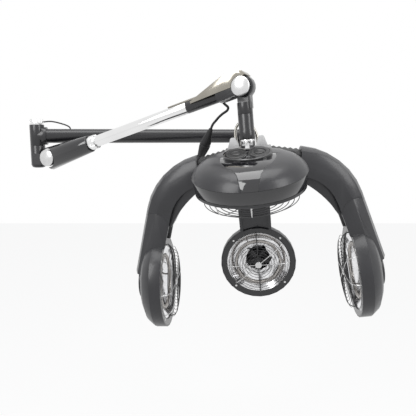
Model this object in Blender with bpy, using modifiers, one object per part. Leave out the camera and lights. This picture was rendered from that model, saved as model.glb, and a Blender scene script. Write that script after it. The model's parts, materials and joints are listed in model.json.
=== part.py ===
"""Wall-mounted hair dryer with a balanced arm, a dome hood and three drum heads.

The origin is the middle of the wall bracket's back face, +Y runs into the wall and +Z is up.
The chain of joints is a chain of empties: wall arm, elbow, spring arm, stem, swivel, hood,
side arms, heads and fans. Each piece is drawn in the coordinates of the empty that carries it.
"""

import math

import bmesh
import bpy
from mathutils import Matrix, Vector

# Running gap between neighbouring pieces
GAP = 0.0003
# Default number of sides of a round piece
SIDES = 18

# Rest pose
WALL_ARM_AZIMUTH = math.radians(187.66)
SPRING_ARM_AZIMUTH = math.radians(-22.0)
SPRING_ARM_LIFT = math.radians(17.0)
STEM_LEAN = math.radians(-5.4)
HOOD_TURN = math.radians(16.25)
HOOD_PITCH = math.radians(6.0)

# Wall bracket
BRACKET_WIDTH = 0.068
BRACKET_HEIGHT = 0.18
BRACKET_THICKNESS = 0.008
BRACKET_HOLE = 0.0065
BRACKET_HOLE_X = 0.024
BRACKET_HOLE_Z = 0.075
SHELF_WIDTH = 0.044
SHELF_THICKNESS = 0.0157
WALL_AXIS_Y = -0.062

# Horizontal wall arm
TUBE_Z = 0.07
TUBE_OD = 0.040
TUBE_ID = 0.033
WALL_HUB_OD = 0.056
WALL_HUB_HEIGHT = 0.040
WALL_SPIGOT_OD = 0.016
WALL_SPIGOT_LENGTH = 0.030
WALL_ARM_LENGTH = 0.607
ELBOW_HUB_OD = 0.040
ELBOW_HUB_TOP = 0.031
ELBOW_HUB_BOTTOM = 0.027
SOCKET_OD = 0.050
SOCKET_LENGTH = 0.0276
ELBOW_CABLE_OD = 0.004
CABLE_ENTRY = 0.0926

# Elbow
ELBOW_SPIGOT_OD = 0.020
KNUCKLE_DEPTH = 0.0895
KNUCKLE_REACH = 0.051
KNUCKLE_DROP = 0.0605
KNUCKLE_CHEEK_RADIUS = 0.023
KNUCKLE_NECK_BELOW = 0.020
KNUCKLE_NECK_ABOVE = 0.0110
EYE_HALF = 0.0125
CHEEK_THICKNESS = 0.012
RING_NUT_OD = 0.037
RING_NUT_HEIGHT = 0.0157
PIVOT_PIN_OD = 0.012
PIVOT_HEAD_OD = 0.046
PIVOT_HEAD_HEIGHT = 0.006

# Spring arm
ARM_LENGTH = 0.588
ARM_EYE_RADIUS = 0.020
ARM_ROD_OD = 0.014
SLEEVE_START = -0.008
SLEEVE_END = 0.135
SLEEVE_START_RADIUS = 0.0325
SLEEVE_END_RADIUS = 0.023
SLEEVE_WALL = 0.003
ARM_NUT_OD = 0.0385
ARM_NUT_LENGTH = 0.022
CHROME_OD = 0.0298
CHROME_WALL = 0.002
CHROME_START = 0.060
CHROME_END = 0.439
BARREL_END = 0.549
FORK_START = 0.524
FORK_END = 0.554
FORK_BLOCK_HALF = 0.016
FORK_CHEEK_RADIUS = 0.022
FORK_CHEEK_THICKNESS = 0.010
SPRING_CLEARANCE = 0.0007
SPRING_WIRE = 0.003
SPRING_START = 0.100
SPRING_END = 0.380
SPRING_TURNS = 10
FAIRING_CHEEK = 0.0015
FAIRING_INSIDE = 0.0168
GROMMET_OD = 0.010
GROMMET_LENGTH = 0.0022
GROMMET_S = 0.531

# Stem
STEM_OD = 0.036
STEM_EYE_OD = 0.0535
STEM_HEAD_LENGTH = 0.062
STEM_COLLAR_OD = 0.0385
STEM_COLLAR_TOP = 0.100
STEM_COLLAR_BOTTOM = 0.121
STEM_BORE = 0.0166
STEM_NUT_OD = 0.034
STEM_NUT_BOTTOM = 0.135
STEM_LENGTH = 0.150
STEM_PIVOT_HEAD_OD = 0.045

# Hood cable
HOOD_CABLE_OD = 0.006
CONNECTOR_OD = 0.028

# Swivel
SWIVEL_BARREL_OD = 0.022
SWIVEL_HALF_WIDTH = 0.028
TRUNNION_OD = 0.010
TRUNNION_HALF = 0.038
SWIVEL_FLANGE_OD = 0.030
SWIVEL_SPIGOT_OD = 0.016
SWIVEL_SPIGOT_TOP = 0.045
BAIL_WIRE = 0.007

# Hood frame: tilt axis and arch
TILT_Y = -0.0157
TILT_Z = 0.035
CHEEK_INNER = 0.030
CHEEK_OUTER = 0.038
CHEEK_TOP_RADIUS = 0.018
CHEEK_TOP_Z = 0.045
SADDLE_FLOOR = 0.0163
SADDLE_FLOOR_TOP = 0.0187
ARCH_HALF_DEPTH = 0.047
ARCH_FACE_Y = -0.0475
BEAM_BOTTOM = 0.002
BEAM_TOP = 0.016
END_PLATE_INNER = 0.0453
END_PLATE_OUTER = 0.055
ARCH_END_TOP = 0.042
TENON_HALF = 0.030
TENON_LENGTH = 0.030

# Dome
DOME_Y = -0.104
DOME_PITCH = math.radians(9.5)
DOME_WALL = 0.003
DOME_PROFILE = (
    (0.1285, 0.0),
    (0.1230, 0.011),
    (0.1115, 0.022),
    (0.095, 0.030),
    (0.076, 0.035),
    (0.056, 0.038),
    (0.0, 0.0385),
)
BAND_TOP_RADIUS = 0.1285
BAND_BOTTOM_RADIUS = 0.1240
BAND_HEIGHT = 0.0295
DOME_GUARD_RING = 0.1236
DOME_GUARD_INNER = 0.115
DOME_GUARD_BOTTOM = 0.0705
DOME_REFLECTOR_RADIUS = 0.1195
TURRET_Y = -0.122
TURRET_Z = 0.045
TURRET_PITCH = math.radians(19.5)
TURRET_HALF_WIDTH = 0.053
TURRET_HALF_DEPTH = 0.035
TURRET_HEIGHT = 0.022
TURRET_WALL = 0.003
VENT_RADIUS = 0.0230
VENT_X = 0.0245
VENT_THICKNESS = 0.003

# Curved arms, drawn in the plane of the arch: x outward, z up
ARM_WIDTH = 0.094
ARM_DEPTH = 0.057
ARM_WALL = 0.003
BEVEL_DEPTH = 0.022
BEVEL_WIDTH = 0.012
CROWN_HEIGHT = 0.0075
CROWN_HALF = 0.014
LIP_WIDTH = 0.0086
LIP_DEPTH = 0.005
RECESS_DEPTH = 0.012
ARC_CENTRE_X = 0.099
ARC_CENTRE_Z = -0.130
ARC_RADIUS = 0.160
ARC_END = math.radians(17.0)
SIDE_ARC_START = math.radians(80.0)
REAR_ARC_START = math.radians(90.0)
ARM_LEAD = 0.004
ARM_HINGE_X = 0.090
ARM_HINGE_Z = 0.012
HINGE_PIN_OD = 0.010
HINGE_TONGUE = 0.024
HINGE_EYE_RADIUS = 0.012
BELLOWS_WIDTH = 0.088
BELLOWS_HEIGHT = 0.046
BELLOWS_WALL = 0.002
BELLOWS_RINGS = 10
BELLOWS_FOLD = 0.88
COVER_CENTRE_X = -0.004
COVER_CENTRE_Z = -0.241
COVER_RADIUS = 0.2325
REAR_DROP = 0.055
REAR_CABLE_X = 0.095
REAR_CABLE_Z = 0.008

# Heads, drawn along the drum's axis: depth 0 at the rim plane
HEAD_PIVOT_X = 0.240
HEAD_PIVOT_Z = -0.125
HEAD_SEAM_RADIUS = 0.034
SEAM_STEPS = 18
HEAD_SWING = math.radians(4.0)
HEAD_PIN_OD = 0.008
DRUM_X = 0.232
DRUM_Z = -0.282
DRUM_LEAN = math.radians(3.0)
DRUM_RADIUS = 0.115
DRUM_BAND = 0.027
DRUM_WALL = 0.003
BEZEL_INNER = 0.096
BEZEL_THICKNESS = 0.004
CAP_RADIUS = 0.0425
CAP_DEPTH = 0.069
NECK_BOTTOM_Z = -0.245
REFLECTOR_THICKNESS = 0.001
FAN_HOLE_RADIUS = 0.038
FAN_RADIUS = 0.035
MOTOR_RADIUS = 0.027
SHAFT_RADIUS = 0.0025
HEATER_RADIUS = 0.068
HEATER_TUBE = 0.0045
HEATER_FOOT_GAP = 0.0026
HUB_RADIUS = 0.013
WIRE = 0.0026
BASKET_POWER = 8
DRUM_SIDES = 20
HEAD_GUARD_CROWN = -0.021

parts = None
tools = None


# ---------------------------------------------------------------- scene helpers

def clear_scene():
    """Remove every object that the start-up file brings."""
    for obj in list(bpy.data.objects):
        bpy.data.objects.remove(obj, do_unlink=True)


def make_collections():
    """Make one collection for the pieces and one for the cutters and guides."""
    global parts, tools
    parts = bpy.data.collections.new("wall_hair_dryer")
    tools = bpy.data.collections.new("cutters")
    bpy.context.scene.collection.children.link(parts)
    bpy.context.scene.collection.children.link(tools)


def make_material(name, colour, roughness, metallic):
    """Make a plain Principled material."""
    material = bpy.data.materials.new(name)
    material.use_nodes = True
    shader = material.node_tree.nodes["Principled BSDF"]
    shader.inputs["Base Color"].default_value = (*colour, 1.0)
    shader.inputs["Roughness"].default_value = roughness
    shader.inputs["Metallic"].default_value = metallic
    material.diffuse_color = (*colour, 1.0)
    return material


class Frame:
    """An empty, and where it lies in the coordinates that its pieces are drawn in."""

    def __init__(self, name, carrier=None, location=(0, 0, 0), turn=(0, 0, 0), origin=(0, 0, 0)):
        self.empty = bpy.data.objects.new(name, None)
        self.empty.empty_display_size = 0.02
        self.empty.rotation_euler = turn
        self.origin = Vector(origin)
        self.empty.location = Vector(location)
        if carrier is not None:
            self.empty.parent = carrier.empty
            self.empty.location = Vector(location) - carrier.origin
        parts.objects.link(self.empty)

    def hold(self, obj):
        """Carry an object whose mesh is drawn in this frame's coordinates."""
        obj.data.transform(Matrix.Translation(-self.origin))
        obj.parent = self.empty


def tool_object(name, mesh, frame, matrix=None):
    """Make a hidden shape in a frame; it stays a cutter unless it is finished as a piece."""
    if matrix is not None:
        mesh.transform(matrix)
    obj = bpy.data.objects.new(name, mesh)
    obj.hide_render = True
    obj.display_type = "WIRE"
    tools.objects.link(obj)
    frame.hold(obj)
    return obj


def finish(obj, name, material, sharp=40.0):
    """Turn a shape into a named piece of the product."""
    tools.objects.unlink(obj)
    parts.objects.link(obj)
    obj.name = name
    obj.hide_render = False
    obj.display_type = "TEXTURED"
    obj.data.materials.append(material)
    obj.data.shade_smooth()
    obj.data.set_sharp_from_angle(angle=math.radians(sharp))
    return obj


def boolean(obj, other, operation):
    """Add one exact Boolean."""
    modifier = obj.modifiers.new(operation.lower(), "BOOLEAN")
    modifier.operation = operation
    modifier.solver = "EXACT"
    modifier.object = other
    return obj


def join(obj, *others):
    """Unite a shape with others."""
    for other in others:
        boolean(obj, other, "UNION")
    return obj


def cut(obj, *others):
    """Cut others out of a shape."""
    for other in others:
        boolean(obj, other, "DIFFERENCE")
    return obj


def triangulated(obj):
    """Split every face into triangles before the next Boolean, so that no face is warped."""
    obj.modifiers.new("triangles", "TRIANGULATE")
    return obj


def keep(obj, other):
    """Keep only what lies inside another shape."""
    return boolean(obj, other, "INTERSECT")


def baked(obj, weld=True):
    """Return an object's evaluated mesh and remove the object."""
    bpy.context.view_layer.update()
    graph = bpy.context.evaluated_depsgraph_get()
    mesh = bpy.data.meshes.new_from_object(obj.evaluated_get(graph))
    bpy.data.objects.remove(obj, do_unlink=True)
    if weld:
        mesh_edit = bmesh.new()
        mesh_edit.from_mesh(mesh)
        bmesh.ops.remove_doubles(mesh_edit, verts=mesh_edit.verts, dist=0.000005)
        bmesh.ops.recalc_face_normals(mesh_edit, faces=mesh_edit.faces)
        mesh_edit.to_mesh(mesh)
        mesh_edit.free()
    return mesh


def scratch(name, data):
    """Link a short-lived object that is about to be baked."""
    obj = bpy.data.objects.new(name, data)
    tools.objects.link(obj)
    return obj


# ---------------------------------------------------------------- shapes

def box(frame, low, high, matrix=None):
    """A box between two corners."""
    low = Vector(low)
    high = Vector(high)
    edit = bmesh.new()
    bmesh.ops.create_cube(edit, size=1.0)
    size = high - low
    scale = Matrix.Diagonal((size.x, size.y, size.z, 1.0))
    bmesh.ops.transform(edit, matrix=Matrix.Translation((low + high) / 2) @ scale, verts=edit.verts)
    mesh = bpy.data.meshes.new("box")
    edit.to_mesh(mesh)
    edit.free()
    return tool_object("box", mesh, frame, matrix)


def cylinder(frame, radius, start, end, sides=SIDES, end_radius=None, matrix=None):
    """A cylinder or cone from one point to another."""
    start = Vector(start)
    end = Vector(end)
    edit = bmesh.new()
    last = radius if end_radius is None else end_radius
    bmesh.ops.create_cone(edit, cap_ends=True, segments=sides, radius1=radius, radius2=last,
                          depth=(end - start).length)
    turn = (end - start).to_track_quat("Z", "Y").to_matrix().to_4x4()
    bmesh.ops.transform(edit, matrix=Matrix.Translation((start + end) / 2) @ turn, verts=edit.verts)
    mesh = bpy.data.meshes.new("cylinder")
    edit.to_mesh(mesh)
    edit.free()
    return tool_object("cylinder", mesh, frame, matrix)


def turned(frame, profile, matrix=None, sides=SIDES, closed=False):
    """A turned solid from (radius, height) points that run down its outer side."""
    points = [(radius, 0.0, height) for radius, height in profile]
    edges = [(index, index + 1) for index in range(len(points) - 1)]
    if closed:
        edges.append((len(points) - 1, 0))
    mesh = bpy.data.meshes.new("profile")
    mesh.from_pydata(points, edges, [])
    obj = scratch("turned", mesh)
    screw = obj.modifiers.new("turn", "SCREW")
    screw.axis = "Z"
    screw.steps = sides
    screw.render_steps = sides
    screw.use_merge_vertices = True
    screw.merge_threshold = 0.00001
    return tool_object("turned", baked(obj), frame, matrix)


def extruded(frame, outline, half, matrix=None):
    """A flat plate: an outline in the XZ plane, given thickness along Y."""
    curve = bpy.data.curves.new("outline", "CURVE")
    curve.dimensions = "2D"
    curve.fill_mode = "BOTH"
    curve.extrude = half
    spline = curve.splines.new("POLY")
    spline.points.add(len(outline) - 1)
    for point, (x, z) in zip(spline.points, outline):
        point.co = (x, z, 0.0, 1.0)
    spline.use_cyclic_u = True
    mesh = baked(scratch("extruded", curve))
    mesh.transform(Matrix.Rotation(math.radians(90.0), 4, "X"))
    return tool_object("extruded", mesh, frame, matrix)


def wire_curve(points, radius, resolution, cyclic):
    """A round-section curve through points."""
    curve = bpy.data.curves.new("wire", "CURVE")
    curve.dimensions = "3D"
    curve.bevel_depth = radius
    curve.bevel_resolution = resolution
    curve.use_fill_caps = not cyclic
    spline = curve.splines.new("POLY")
    spline.points.add(len(points) - 1)
    for point, place in zip(spline.points, points):
        point.co = (*place, 1.0)
    spline.use_cyclic_u = cyclic
    return curve


def tube(frame, points, radius, resolution=2, cyclic=False, matrix=None):
    """A round bar or cord through points."""
    curve = wire_curve(points, radius, resolution, cyclic)
    return tool_object("tube", baked(scratch("tube", curve)), frame, matrix)


def swept(frame, path, section, matrix=None):
    """A section of (outward, sideways) points swept along a path in the XZ plane."""
    rings = []
    edit = bmesh.new()
    legs = [(Vector(after) - Vector(before)).normalized() for before, after in zip(path, path[1:])]
    for index, (x, z) in enumerate(path):
        first = legs[max(index - 1, 0)]
        along = (first + legs[min(index, len(legs) - 1)]).normalized()
        outward = Vector((-along.y, along.x))
        bend = 1.0 / along.dot(first)
        ring = []
        for out, side in section:
            reach = outward * out * bend
            ring.append(edit.verts.new((x + reach.x, side, z + reach.y)))
        rings.append(ring)
    count = len(section)
    for first, second in zip(rings, rings[1:]):
        for index in range(count):
            after = (index + 1) % count
            edit.faces.new((first[index], first[after], second[after], second[index]))
    edit.faces.new(rings[0])
    edit.faces.new(rings[-1])
    bmesh.ops.recalc_face_normals(edit, faces=edit.faces)
    bmesh.ops.triangulate(edit, faces=edit.faces)
    mesh = bpy.data.meshes.new("swept")
    edit.to_mesh(mesh)
    edit.free()
    return tool_object("swept", mesh, frame, matrix)


def smooth_route(points, steps):
    """Points read from a smooth curve that passes through a cord's own points."""
    places = [Vector(point) for point in points]
    places = [2 * places[0] - places[1], *places, 2 * places[-1] - places[-2]]
    route = []
    for before, start, end, after in zip(places, places[1:], places[2:], places[3:]):
        for step in range(steps):
            t = step / steps
            blend = 2 * start + (end - before) * t
            blend += (2 * before - 5 * start + 4 * end - after) * t * t
            blend += (3 * start - before - 3 * end + after) * t * t * t
            route.append(blend / 2)
    route.append(places[-2])
    return route


def arc_points(centre, radius, start, end, count):
    """Points of an arc in the XZ plane, from one angle to another."""
    points = []
    for index in range(count + 1):
        angle = start + (end - start) * index / count
        points.append((centre[0] + radius * math.cos(angle), centre[1] + radius * math.sin(angle)))
    return points


# Turning helpers: a turned shape's axis is Z until it is laid along X or Y
ALONG_X = Matrix.Rotation(math.radians(90.0), 4, "Y")
ALONG_Y = Matrix.Rotation(math.radians(-90.0), 4, "X")


def notches(frame, radius, low, high, count, width, matrix=None):
    """Slots round a castellated nut."""
    slots = []
    for index in range(count):
        turn = Matrix.Rotation(2 * math.pi * index / count, 4, "Z")
        place = turn if matrix is None else matrix @ turn
        slots.append(box(frame, (radius - 0.0025, -width / 2, low), (radius + 0.004, width / 2, high), place))
    return slots


# ---------------------------------------------------------------- wall and elbow

def wall_bracket(frame, materials):
    """Plate against the wall, with a shelf and an upright spigot for the arm's hub."""
    half = BRACKET_WIDTH / 2
    tall = BRACKET_HEIGHT / 2
    hub_bottom = TUBE_Z - WALL_HUB_HEIGHT / 2
    shelf_top = hub_bottom - GAP
    shelf_low = shelf_top - SHELF_THICKNESS
    plate = box(frame, (-half, -BRACKET_THICKNESS, -tall), (half, 0.0, tall))
    shelf_half = SHELF_WIDTH / 2
    front = WALL_AXIS_Y - 0.02
    shelf = box(frame, (-shelf_half, front, shelf_low), (shelf_half, -BRACKET_THICKNESS / 2, shelf_top))
    gusset = extruded(frame, ((-0.003, -0.06), (-0.003, 0.036), (-0.055, 0.036)), 0.006,
                      Matrix.Rotation(math.radians(90.0), 4, "Z"))
    spigot = cylinder(frame, WALL_SPIGOT_OD / 2, (0, WALL_AXIS_Y, shelf_top - 0.01),
                      (0, WALL_AXIS_Y, shelf_top + WALL_SPIGOT_LENGTH))
    join(plate, shelf, gusset, spigot)
    for x in (-BRACKET_HOLE_X, BRACKET_HOLE_X):
        for z in (-BRACKET_HOLE_Z, BRACKET_HOLE_Z):
            cut(plate, cylinder(frame, BRACKET_HOLE / 2, (x, 0.01, z), (x, -0.02, z), 16))
    finish(plate, "wall_bracket", materials["black_paint"])


def wall_arm_tube(frame, materials):
    """Horizontal tube with a vertical hub at each end."""
    half = WALL_HUB_HEIGHT / 2
    body = cylinder(frame, TUBE_OD / 2, (0.004, 0, 0), (WALL_ARM_LENGTH - 0.005, 0, 0))
    hub = cylinder(frame, WALL_HUB_OD / 2, (0, 0, -half), (0, 0, half))
    reach = (WALL_ARM_LENGTH, 0)
    post = cylinder(frame, ELBOW_HUB_OD / 2, (*reach, -ELBOW_HUB_BOTTOM), (*reach, ELBOW_HUB_TOP), 26)
    socket = cylinder(frame, SOCKET_OD / 2, (WALL_ARM_LENGTH - SOCKET_LENGTH, 0, 0),
                      (WALL_ARM_LENGTH - 0.0143, 0, 0), 22)
    join(body, hub, post, socket)
    cut(body, cylinder(frame, TUBE_ID / 2, (WALL_HUB_OD / 2 + 0.006, 0, 0),
                       (WALL_ARM_LENGTH - 0.03, 0, 0)))
    bore = WALL_SPIGOT_OD / 2 + GAP
    cut(body, cylinder(frame, bore, (0, 0, -half - 0.01), (0, 0, half - 0.008)))
    elbow_bore = ELBOW_SPIGOT_OD / 2 + GAP
    cut(body, cylinder(frame, elbow_bore, (*reach, -0.06), (*reach, 0.06)))
    entry = WALL_ARM_LENGTH - CABLE_ENTRY
    cut(body, cylinder(frame, ELBOW_CABLE_OD / 2 + 0.0016, (entry, 0, 0), (entry, 0, 0.04), 12))
    finish(body, "wall_arm_tube", materials["black_paint"])


ELBOW_CABLE_ROUTE = (
    (0.5878, 0.0, 0.0395),
    (0.570, 0.0, 0.0410),
    (0.556, 0.0, 0.0392),
    (0.5415, 0.0, 0.0355),
    (0.5275, 0.0, 0.0310),
    (0.5172, 0.0, 0.0255),
    (0.5144, 0.0, 0.0180),
    (0.5144, 0.0, 0.0100),
)


def elbow_cable(frame, materials):
    """Short cable loop from the top of the elbow into the tube."""
    route = smooth_route(ELBOW_CABLE_ROUTE, 2)
    cable = tube(frame, route, ELBOW_CABLE_OD / 2)
    finish(cable, "elbow_cable", materials["rubber"])


def elbow_pieces(frame, materials):
    """Knuckle that hangs under the wall arm, its ring nut and the pivot bolt."""
    top = -ELBOW_HUB_BOTTOM - GAP
    spigot_top = ELBOW_HUB_TOP + 0.012
    radius = ELBOW_HUB_OD / 2
    spigot = ELBOW_SPIGOT_OD / 2
    profile = ((0, spigot_top), (spigot, spigot_top), (spigot, top), (radius, top),
               (radius, -KNUCKLE_DEPTH + 0.008), (radius - 0.003, -KNUCKLE_DEPTH + 0.002),
               (radius - 0.008, -KNUCKLE_DEPTH), (0, -KNUCKLE_DEPTH))
    body = turned(frame, profile)
    inner = EYE_HALF + GAP
    outer = inner + CHEEK_THICKNESS
    for side in (-1, 1):
        cheek = cylinder(frame, KNUCKLE_CHEEK_RADIUS, (KNUCKLE_REACH, side * inner, -KNUCKLE_DROP),
                         (KNUCKLE_REACH, side * outer, -KNUCKLE_DROP))
        edges = sorted((side * inner, side * (inner + 0.007)))
        neck = box(frame, (0.0, edges[0], -KNUCKLE_DROP - KNUCKLE_NECK_BELOW),
                   (KNUCKLE_REACH, edges[1], -KNUCKLE_DROP + KNUCKLE_NECK_ABOVE))
        join(body, cheek, neck)
    pin = PIVOT_PIN_OD / 2 + GAP
    cut(body, cylinder(frame, ARM_EYE_RADIUS + 0.0035, (KNUCKLE_REACH, -inner, -KNUCKLE_DROP),
                       (KNUCKLE_REACH, inner, -KNUCKLE_DROP)))
    cut(body, cylinder(frame, pin, (KNUCKLE_REACH, -0.05, -KNUCKLE_DROP), (KNUCKLE_REACH, 0.05,
                                                                           -KNUCKLE_DROP)))
    finish(body, "elbow_knuckle", materials["black_paint"])
    low = ELBOW_HUB_TOP + GAP
    nut_bore = ELBOW_SPIGOT_OD / 2 + GAP
    high = low + RING_NUT_HEIGHT
    nut = turned(frame, ((RING_NUT_OD / 2, high), (RING_NUT_OD / 2, low), (nut_bore, low), (nut_bore, high)),
                 closed=True)
    cut(nut, *notches(frame, RING_NUT_OD / 2, low + 0.006, high + 0.004, 6, 0.005))
    finish(nut, "elbow_ring_nut", materials["chrome"])
    bolt = pivot_bolt(frame, PIVOT_HEAD_OD, outer, (KNUCKLE_REACH, 0, -KNUCKLE_DROP))
    finish(bolt, "elbow_pivot_bolt", materials["satin_silver"])


def pivot_bolt(frame, head, half, centre):
    """Pivot pin along Y with a domed head at each end."""
    pin = PIVOT_PIN_OD / 2
    seat = half + GAP
    crown = seat + PIVOT_HEAD_HEIGHT
    radius = head / 2
    profile = ((0, crown), (radius * 0.80, crown - 0.0015), (radius, seat + 0.0015), (radius, seat),
               (pin, seat),
               (pin, -seat), (radius, -seat), (radius, -seat - 0.0015), (radius * 0.80,
                                                                         -crown + 0.0015), (0, -crown))
    return turned(frame, profile, Matrix.Translation(centre) @ ALONG_Y, 22)


# ---------------------------------------------------------------- spring arm

def arm_spar(frame, materials):
    """Inner spar: rear eye, rod, front barrel and fork."""
    bore = PIVOT_PIN_OD / 2 + GAP
    eye = cylinder(frame, ARM_EYE_RADIUS, (0, -EYE_HALF, 0), (0, EYE_HALF, 0))
    neck = box(frame, (0.004, -EYE_HALF + 0.001, -0.011), (0.050, EYE_HALF - 0.001, 0.011))
    rod = cylinder(frame, ARM_ROD_OD / 2, (0.010, 0, 0), (BARREL_END, 0, 0), 20)
    barrel = cylinder(frame, CHROME_OD / 2, (CHROME_END + GAP, 0, 0), (BARREL_END, 0, 0))
    inner = EYE_HALF + 0.001
    outer = inner + FORK_CHEEK_THICKNESS
    block = FORK_BLOCK_HALF
    base = box(frame, (FORK_START, -outer, -block), (FORK_END, outer, block))
    join(eye, neck, rod, barrel, base)
    for side in (-1, 1):
        cheek = cylinder(frame, FORK_CHEEK_RADIUS, (ARM_LENGTH, side * inner, 0), (ARM_LENGTH,
                                                                                   side * outer, 0))
        edges = sorted((side * inner, side * outer))
        web = box(frame, (FORK_END - 0.012, edges[0], -block), (ARM_LENGTH, edges[1], block))
        join(eye, web, cheek)
    cut(eye, cylinder(frame, bore, (0, -0.05, 0), (0, 0.05, 0)))
    cut(eye, cylinder(frame, bore, (ARM_LENGTH, -0.05, 0), (ARM_LENGTH, 0.05, 0)))
    cut(eye, cylinder(frame, GROMMET_OD / 2 - 0.002, (GROMMET_S, 0, -0.03), (GROMMET_S, 0, -0.008), 12))
    finish(eye, "arm_spar", materials["black_paint"])


def arm_covers(frame, materials):
    """Tapered sleeve, castellated nut and mirror tube over the spar."""
    wall = SLEEVE_WALL
    clear = KNUCKLE_CHEEK_RADIUS + 0.003
    sleeve = cylinder(frame, SLEEVE_START_RADIUS, (SLEEVE_START, 0, 0), (SLEEVE_END, 0, 0),
                      end_radius=SLEEVE_END_RADIUS)
    slope = (SLEEVE_START_RADIUS - SLEEVE_END_RADIUS) / (SLEEVE_END - SLEEVE_START)
    extra = 0.01
    cut(sleeve, cylinder(frame, SLEEVE_START_RADIUS - wall + slope * extra, (SLEEVE_START - extra, 0, 0),
                         (SLEEVE_END + extra, 0, 0), end_radius=SLEEVE_END_RADIUS - wall - slope * extra))
    cut(sleeve, cylinder(frame, clear, (0, -0.06, 0), (0, 0.06, 0)))
    cut(sleeve, box(frame, (-0.06, -0.06, -clear), (0.0, 0.06, clear)))
    finish(sleeve, "arm_sleeve", materials["black_gloss"])
    bore = CHROME_OD / 2 + GAP
    start = SLEEVE_END + GAP
    end = SLEEVE_END + ARM_NUT_LENGTH
    radius = ARM_NUT_OD / 2
    nut = turned(frame, ((radius, end), (radius, start), (bore, start), (bore, end)), ALONG_X, closed=True)
    cut(nut, *notches(frame, radius, end - 0.012, end + 0.004, 6, 0.006, ALONG_X))
    finish(nut, "arm_ring_nut", materials["chrome"])
    outer = CHROME_OD / 2
    inner = outer - CHROME_WALL
    mirror = turned(frame, ((outer, CHROME_END), (outer, CHROME_START), (inner, CHROME_START),
                            (inner, CHROME_END)), ALONG_X, closed=True)
    finish(mirror, "arm_chrome_tube", materials["chrome"])


def balance_spring(frame, materials):
    """Coil spring round the rod inside the mirror tube."""
    radius = CHROME_OD / 2 - CHROME_WALL - SPRING_CLEARANCE - SPRING_WIRE / 2
    steps = 6
    count = SPRING_TURNS * steps
    points = []
    for index in range(count + 1):
        angle = 2 * math.pi * index / steps
        s = SPRING_START + (SPRING_END - SPRING_START) * index / count
        points.append((s, radius * math.cos(angle), radius * math.sin(angle)))
    spring = tube(frame, points, SPRING_WIRE / 2, 0)
    finish(spring, "balance_spring", materials["steel"])


def arm_fairing(frame, materials):
    """Hollow grey wedge that hides the spring anchor and the fork, with a strip along the tube."""
    fork = EYE_HALF + 0.001 + FORK_CHEEK_THICKNESS + GAP
    half = fork + FAIRING_CHEEK
    tube_radius = CHROME_OD / 2 + GAP
    body = extruded(frame, ((0.4560, 0.0030), (0.4560, 0.0080), (0.5810, 0.0448), (0.6000, 0.0328),
                            (0.6055, 0.0240), (0.5840, 0.0040)), half + 0.001)
    plan = ((0.45, -0.0180), (0.53, -half), (0.61, -half), (0.61, half), (0.53, half), (0.45, 0.0180))
    keep(body, extruded(frame, plan, 0.1, Matrix.Rotation(math.radians(-90.0), 4, "X")))
    join(body, box(frame, (0.390, -0.006, 0.010), (0.520, 0.006, tube_radius + 0.0019)))
    pocket = extruded(frame, ((0.4970, -0.01), (0.4970, 0.0170), (0.5780, 0.0410), (0.5930, 0.0320),
                              (0.5960, 0.0290), (0.5840, -0.01)), FAIRING_INSIDE)
    cut(body, pocket)
    cut(body, cylinder(frame, tube_radius, (0.37, 0, 0), (FORK_END, 0, 0)))
    cut(body, box(frame, (FORK_START - GAP, -fork, -0.02), (ARM_LENGTH, fork, FORK_BLOCK_HALF + GAP)))
    cut(body, cylinder(frame, FORK_CHEEK_RADIUS + GAP, (ARM_LENGTH, -fork, 0), (ARM_LENGTH, fork, 0)))
    head = STEM_PIVOT_HEAD_OD / 2 + 0.0006
    cut(body, cylinder(frame, head, (ARM_LENGTH, -0.06, 0), (ARM_LENGTH, -fork + 0.001, 0)),
        cylinder(frame, head, (ARM_LENGTH, fork - 0.001, 0), (ARM_LENGTH, 0.06, 0)))
    cut(body, cylinder(frame, STEM_EYE_OD / 2 + 0.0012, (ARM_LENGTH, -EYE_HALF - 0.001, 0),
                       (ARM_LENGTH, EYE_HALF + 0.001, 0)))
    finish(body, "arm_fairing", materials["warm_grey"])


def cable_grommet(frame, materials):
    """Short gland under the fork where the hood cable comes out."""
    top = -FORK_BLOCK_HALF - GAP
    bottom = top - GROMMET_LENGTH
    outer = GROMMET_OD / 2
    bore = HOOD_CABLE_OD / 2 + GAP
    place = Matrix.Translation((GROMMET_S, 0, 0))
    body = turned(frame, ((outer, top), (outer, bottom), (bore, bottom), (bore, top)), place, 20, True)
    finish(body, "cable_grommet", materials["satin_silver"])


# ---------------------------------------------------------------- stem and swivel

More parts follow.
